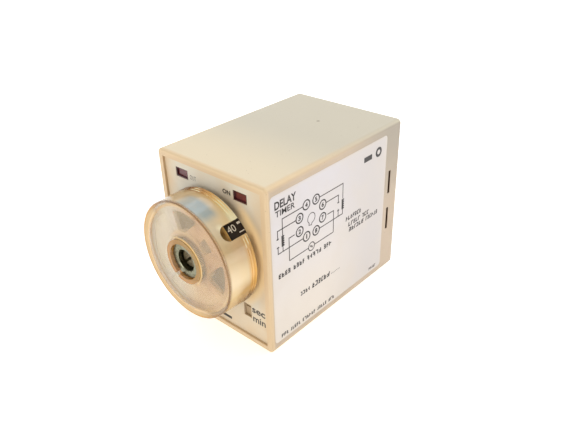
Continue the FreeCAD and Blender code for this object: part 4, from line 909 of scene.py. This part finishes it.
def wiring(drawing):
    """The eight-pin base seen from below, with its supply, its contacts and their loads."""
    def wire(*points):
        drawing.line([scaled(u, v) for u, v in points], LINE * MM)

    def left_of(number):
        return (pin_spot(number)[0] - PIN_RING, pin_spot(number)[1])

    def right_of(number):
        return (pin_spot(number)[0] + PIN_RING, pin_spot(number)[1])

    for number in range(1, 9):
        u, v = pin_spot(number)
        drawing.ring(*scaled(u, v, PIN_RING, PIN_RING_LINE))
        half = 0.25 if number == 1 else 0.6
        drawing.text(str(number), *scaled(u - half, v - 0.85, u + half, v + 0.85), 0.07 * MM)
    keyed_post(drawing)
    level = {number: pin_spot(number)[1] for number in range(1, 9)}
    source_u, source_v = SOURCE

    # The wires of the left side: to a load, to a gap and to the supply
    wire(left_of(4), (LEFT_LOAD, level[4]), (LEFT_LOAD, 42.4))
    wire((LEFT_LOAD, 38.9), (LEFT_LOAD, level[1]))
    wire(left_of(3), (LEFT_GAP, level[3]), (LEFT_GAP, 41.9))
    wire((LEFT_GAP, 39.6), (LEFT_GAP, level[1]), left_of(1))
    wire((left_of(2)[0] - 0.8, level[2]), (LEFT_SUPPLY, level[2]), (LEFT_SUPPLY, source_v))
    wire((LEFT_SUPPLY, source_v), (source_u - SOURCE_RADIUS, source_v))

    # The same wires on the right side
    wire(right_of(5), (RIGHT_LOAD, level[5]), (RIGHT_LOAD, 42.8))
    wire((RIGHT_LOAD, 38.9), (RIGHT_LOAD, level[8]), right_of(8))
    wire(right_of(6), (RIGHT_GAP, level[6]), (RIGHT_GAP, 42.0))
    wire((RIGHT_GAP, 39.8), (RIGHT_GAP, level[8]))
    wire((right_of(7)[0] + 0.8, level[7]), (RIGHT_SUPPLY, level[7]), (RIGHT_SUPPLY, source_v))
    wire((RIGHT_SUPPLY, source_v), (source_u + SOURCE_RADIUS, source_v))

    # The supply's sign, the loads and the bars at the gaps
    drawing.ring(*scaled(source_u, source_v, SOURCE_RADIUS, LINE))
    wave = []
    for k in range(13):
        turn = 2 * math.pi * k / 12
        wave.append((source_u + 1.4 * (k / 12 - 0.5), source_v + 0.45 * math.sin(turn)))
    wire(*wave)
    for u in (LEFT_LOAD, RIGHT_LOAD):
        load(drawing, u, 40.7)
    for u in (LEFT_GAP, RIGHT_GAP):
        for v, reach in ((41.9, 1), (39.6, -1)):
            wire((u - 0.55, v + 0.35 * reach), (u + 0.55, v + 0.35 * reach))


def keyed_post(drawing):
    """An egg-shaped ring with its key towards the lower left."""
    u, v = DIAGRAM_CENTRE
    gap = math.radians(22)
    key = math.radians(-105)
    start, sweep = key + gap, 2 * math.pi - 2 * gap
    drawing.ring(*scaled(u, v, 1.8, 0.28), 36, start, sweep)
    notch = []
    for turn, away in ((key - gap, 1.75), (key - gap * 0.7, 2.5), (key + gap * 0.7, 2.5), (key + gap, 1.75)):
        notch.append(scaled(u + away * math.cos(turn), v + away * math.sin(turn)))
    drawing.line(notch, 0.26 * MM)


def load(drawing, u, v):
    """A load: a dark upright with teeth down one side."""
    drawing.bar(*scaled(u - 0.1, v, 0.95, 3.8))
    for k in range(5):
        drawing.bar(*scaled(u + 0.42, v + 0.8 * (k - 2), 0.6, 0.5))


def label_print(material):
    """The wiring, two heading words, lines that only look like small print, and two plain marks."""
    drawing = Print(on_label)
    wiring(drawing)
    drawing.text("DELAY", *scaled(3.5, 52.3, 13.0, 55.0), 0.08 * MM)
    drawing.text("TIMER", *scaled(3.7, 49.8, 12.4, 51.8), 0.03 * MM)
    drawing.filler(*scaled(4.2, 27.7, 28.0, 1.65), 3)
    drawing.filler(*scaled(38.4, 32.9, 11.2, 1.6), 5, 0.15)
    drawing.filler(*scaled(39.9, 30.2, 13.0, 1.6), 7, 0.15)
    drawing.filler(*scaled(40.4, 27.9, 17.6, 1.6), 11, 0.15)
    drawing.filler(*scaled(14.5, 15.4, 4.6, 1.5), 13)
    drawing.filler(*scaled(20.3, 15.2, 9.6, 1.9), 17, 0.2)
    for k in range(7):
        drawing.bar(*scaled(31.0 + 0.72 * k, 15.5, 0.3, 0.3))
    drawing.filler(*scaled(4.6, 4.1, 28.6, 1.35), 19)
    drawing.filler(*scaled(54.2, 4.1, 4.8, 1.1), 23)
    drawing.bar(*scaled(50.3, 52.2, 4.6, 1.9))
    drawing.ring(*scaled(56.6, 52.5, 1.35, 0.95))
    drawing.piece("label_print", "case", material)


def panel_print(dark, grey):
    """The unit words beside the selector, the words beside the windows, and a plain mark at the foot."""
    drawing = Print(on_panel)
    drawing.text("sec", *scaled(14.8, 12.5, 20.6, 14.4), 0.04 * MM)
    drawing.text("min", *scaled(15.0, 8.8, 20.6, 11.4), 0.04 * MM)
    drawing.bar(*scaled(0, 4.5, 8.8, 1.1))
    drawing.text("ON", *scaled(5.3, 53.3, 8.7, 54.9), 0.06 * MM)
    drawing.piece("panel_print", "case", dark)
    faint = Print(on_panel)
    faint.text("OUT", *scaled(-9.7, 53.2, -6.8, 54.7))
    faint.piece("panel_words", "case", grey)


# The dial's scale: 0 to 60 over three quarters of a turn, read at the slot in the dial

ZERO_ANGLE = math.radians(-136.5)
FULL_SWEEP = math.radians(270)
SCALE_TOP = 60
TICK_STEP = 2
FIGURE_STEP = 10
FIGURE_HEIGHT = 2.3 * MM
FIGURE_SHIFT = 0.75 * MM


def scale_turn(reading):
    """The angle of a reading round the band, anticlockwise from the top."""
    return -(ZERO_ANGLE + FULL_SWEEP * reading / SCALE_TOP)


def scale_print(material):
    """Ticks along the rear edge of the band, and figures before them whose tops point anticlockwise."""
    ticks_end = PANEL - BAND_LOW.y - 0.2 * MM
    drawing = Print(on_band)
    for reading in range(0, SCALE_TOP + 1, TICK_STEP):
        thick = reading % FIGURE_STEP == 0
        across = (0.75 if thick else 0.34) * MM / BAND_RADIUS
        length = (1.3 if thick else 2.1) * MM
        drawing.bar(scale_turn(reading), ticks_end - length / 2, across, length)
    for reading in range(0, SCALE_TOP + 1, FIGURE_STEP):
        figure = Print(lambda u, v, height: on_band(v / BAND_RADIUS, u, height))
        middle = scale_turn(reading) * BAND_RADIUS - FIGURE_SHIFT
        start = 0.12 * MM if reading else 1.0 * MM
        length = 3.1 * MM if reading else 1.5 * MM
        figure.text(
            str(reading), start, middle - FIGURE_HEIGHT / 2, start + length, middle + FIGURE_HEIGHT / 2
        )
        drawing.faces += [[len(drawing.points) + k for k in face] for face in figure.faces]
        drawing.points += figure.points
    drawing.piece("scale_figures", "case", material)


# Numbers moulded beside the plug's pins

POST_LENGTH = 14.3 * MM
BOSS_FACE = PLUG_HIGH.y - POST_LENGTH
NUMBER_REACH = 12.6 * MM
NUMBER_RISE = 12


def pin_numbers(material):
    """Raised figures round the plug, numbered clockwise from the key as seen from the pins."""
    drawing = Print(lambda u, v, height: Vector((-u, BOSS_FACE + NUMBER_RISE * height, PLUG_Z + v)))
    for number in range(1, 9):
        turn = math.radians(-90 - 45 * (number - 0.5))
        u, v = NUMBER_REACH * math.cos(turn), NUMBER_REACH * math.sin(turn)
        half = (0.3 if number == 1 else 0.7) * MM
        drawing.text(str(number), u - half, v - 1.1 * MM, u + half, v + 1.1 * MM)
    drawing.piece("pin_numbers", "case", material)


# Stage, light and camera

FLOOR_WIDTH = 24.0
FLOOR_FRONT = -6.0
FLOOR_BEND = 1.2
BEND_RADIUS = 0.8
BEND_STEPS = 12
FLOOR_TOP = 4.0
FLOOR_TURN = math.radians(40)


def stage_floor():
    """One pale sheet, flat under the timer and curving up far behind it."""
    points, faces = [], []
    profile = [(FLOOR_FRONT, 0.0), (FLOOR_BEND, 0.0)]
    for k in range(1, BEND_STEPS + 1):
        turn = math.pi / 2 * k / BEND_STEPS
        rise = BEND_RADIUS - BEND_RADIUS * math.cos(turn)
        profile.append((FLOOR_BEND + BEND_RADIUS * math.sin(turn), rise))
    profile.append((FLOOR_BEND + BEND_RADIUS, FLOOR_TOP))
    for y, z in profile:
        points += [(-FLOOR_WIDTH / 2, y, z), (FLOOR_WIDTH / 2, y, z)]
    for k in range(len(profile) - 1):
        faces.append((2 * k, 2 * k + 1, 2 * k + 3, 2 * k + 2))
    mesh = bpy.data.meshes.new("floor")
    mesh.from_pydata(points, [], faces)
    mesh.polygons.foreach_set("use_smooth", [True] * len(faces))
    paint = Paint("floor_paper")
    paint.set(Base_Color=paint.mix(paint.noise(80.0), (0.93, 0.93, 0.925, 1), (0.96, 0.96, 0.955, 1)))
    paint.set(Roughness=0.9, Emission_Color=(1.0, 1.0, 1.0, 1), Emission_Strength=0.45)
    mesh.materials.append(paint.material)
    floor = bpy.data.objects.new("floor", mesh)
    bpy.context.scene.collection.objects.link(floor)
    floor.rotation_euler = (0, 0, FLOOR_TURN)


def area_light(name, place, aim, size, power, colour):
    """A rectangular lamp at a place, turned to aim at another."""
    light = bpy.data.lights.new(name, "AREA")
    light.shape = "RECTANGLE"
    light.size, light.size_y = size
    light.energy = power
    light.color = colour
    lamp = bpy.data.objects.new(name, light)
    bpy.context.scene.collection.objects.link(lamp)
    lamp.location = place
    lamp.rotation_euler = (Vector(aim) - Vector(place)).to_track_quat("-Z", "Y").to_euler()


def lights():
    """Two large soft lamps, two smaller ones that the dial's top mirrors, a low one and a pale world."""
    middle = (0, 0, 30 * MM)
    dial_top = (0, -42 * MM, 40 * MM)
    label = (24 * MM, 10 * MM, 20 * MM)
    area_light("key", (0.15, -1.0, 0.45), middle, (0.8, 0.6), 3.2, (1.0, 0.98, 0.95))
    area_light("top", (0.1, 0.35, 0.95), middle, (0.9, 0.7), 1.2, (0.92, 0.96, 1.0))
    area_light("sky", (-0.33, 0.40, 0.72), dial_top, (0.3, 0.3), 0.5, (0.55, 0.75, 1.0))
    area_light("glint", (0.31, 0.47, 0.56), dial_top, (0.05, 0.3), 0.9, (1.0, 0.9, 0.7))
    area_light("low", (0.30, 0.22, 0.06), label, (0.25, 0.1), 0.15, (1.0, 0.98, 0.98))
    world = bpy.data.worlds.new("studio")
    world.use_nodes = True
    background = world.node_tree.nodes["Background"].inputs
    background["Color"].default_value = (1.0, 0.965, 0.91, 1)
    background["Strength"].default_value = 0.6
    bpy.context.scene.world = world


CAMERA_PLACE = (127.11 * MM, -141.27 * MM, 136.24 * MM)
CAMERA_FORWARD = Vector((-0.5819, 0.6426, -0.4985))
CAMERA_RIGHT = Vector((0.7499, 0.6611, -0.0232))
SENSOR_WIDTH_MM = 36.0
FOCAL_LENGTH_MM = 37.19


def camera():
    """The camera stands high at the front right corner, close to the timer, and rolled by about a degree."""
    lens = bpy.data.cameras.new("camera")
    lens.sensor_width = SENSOR_WIDTH_MM
    lens.lens = FOCAL_LENGTH_MM
    lens.clip_start = 10 * MM
    view = bpy.data.objects.new("camera", lens)
    bpy.context.scene.collection.objects.link(view)
    forward = CAMERA_FORWARD.normalized()
    right = (CAMERA_RIGHT - forward * CAMERA_RIGHT.dot(forward)).normalized()
    up = right.cross(forward)
    turn = Matrix((right, up, -forward)).transposed().to_4x4()
    view.matrix_world = Matrix.Translation(CAMERA_PLACE) @ turn
    bpy.context.scene.camera = view


camera()
stage_floor()
lights()
MATERIALS = make_materials()
dress_nodes(MATERIALS)
label_print(MATERIALS["dark_ink"])
panel_print(MATERIALS["dark_ink"], MATERIALS["grey_ink"])
scale_print(MATERIALS["white_ink"])
pin_numbers(MATERIALS["plug_plastic"])

bpy.context.scene.view_settings.view_transform = "Standard"
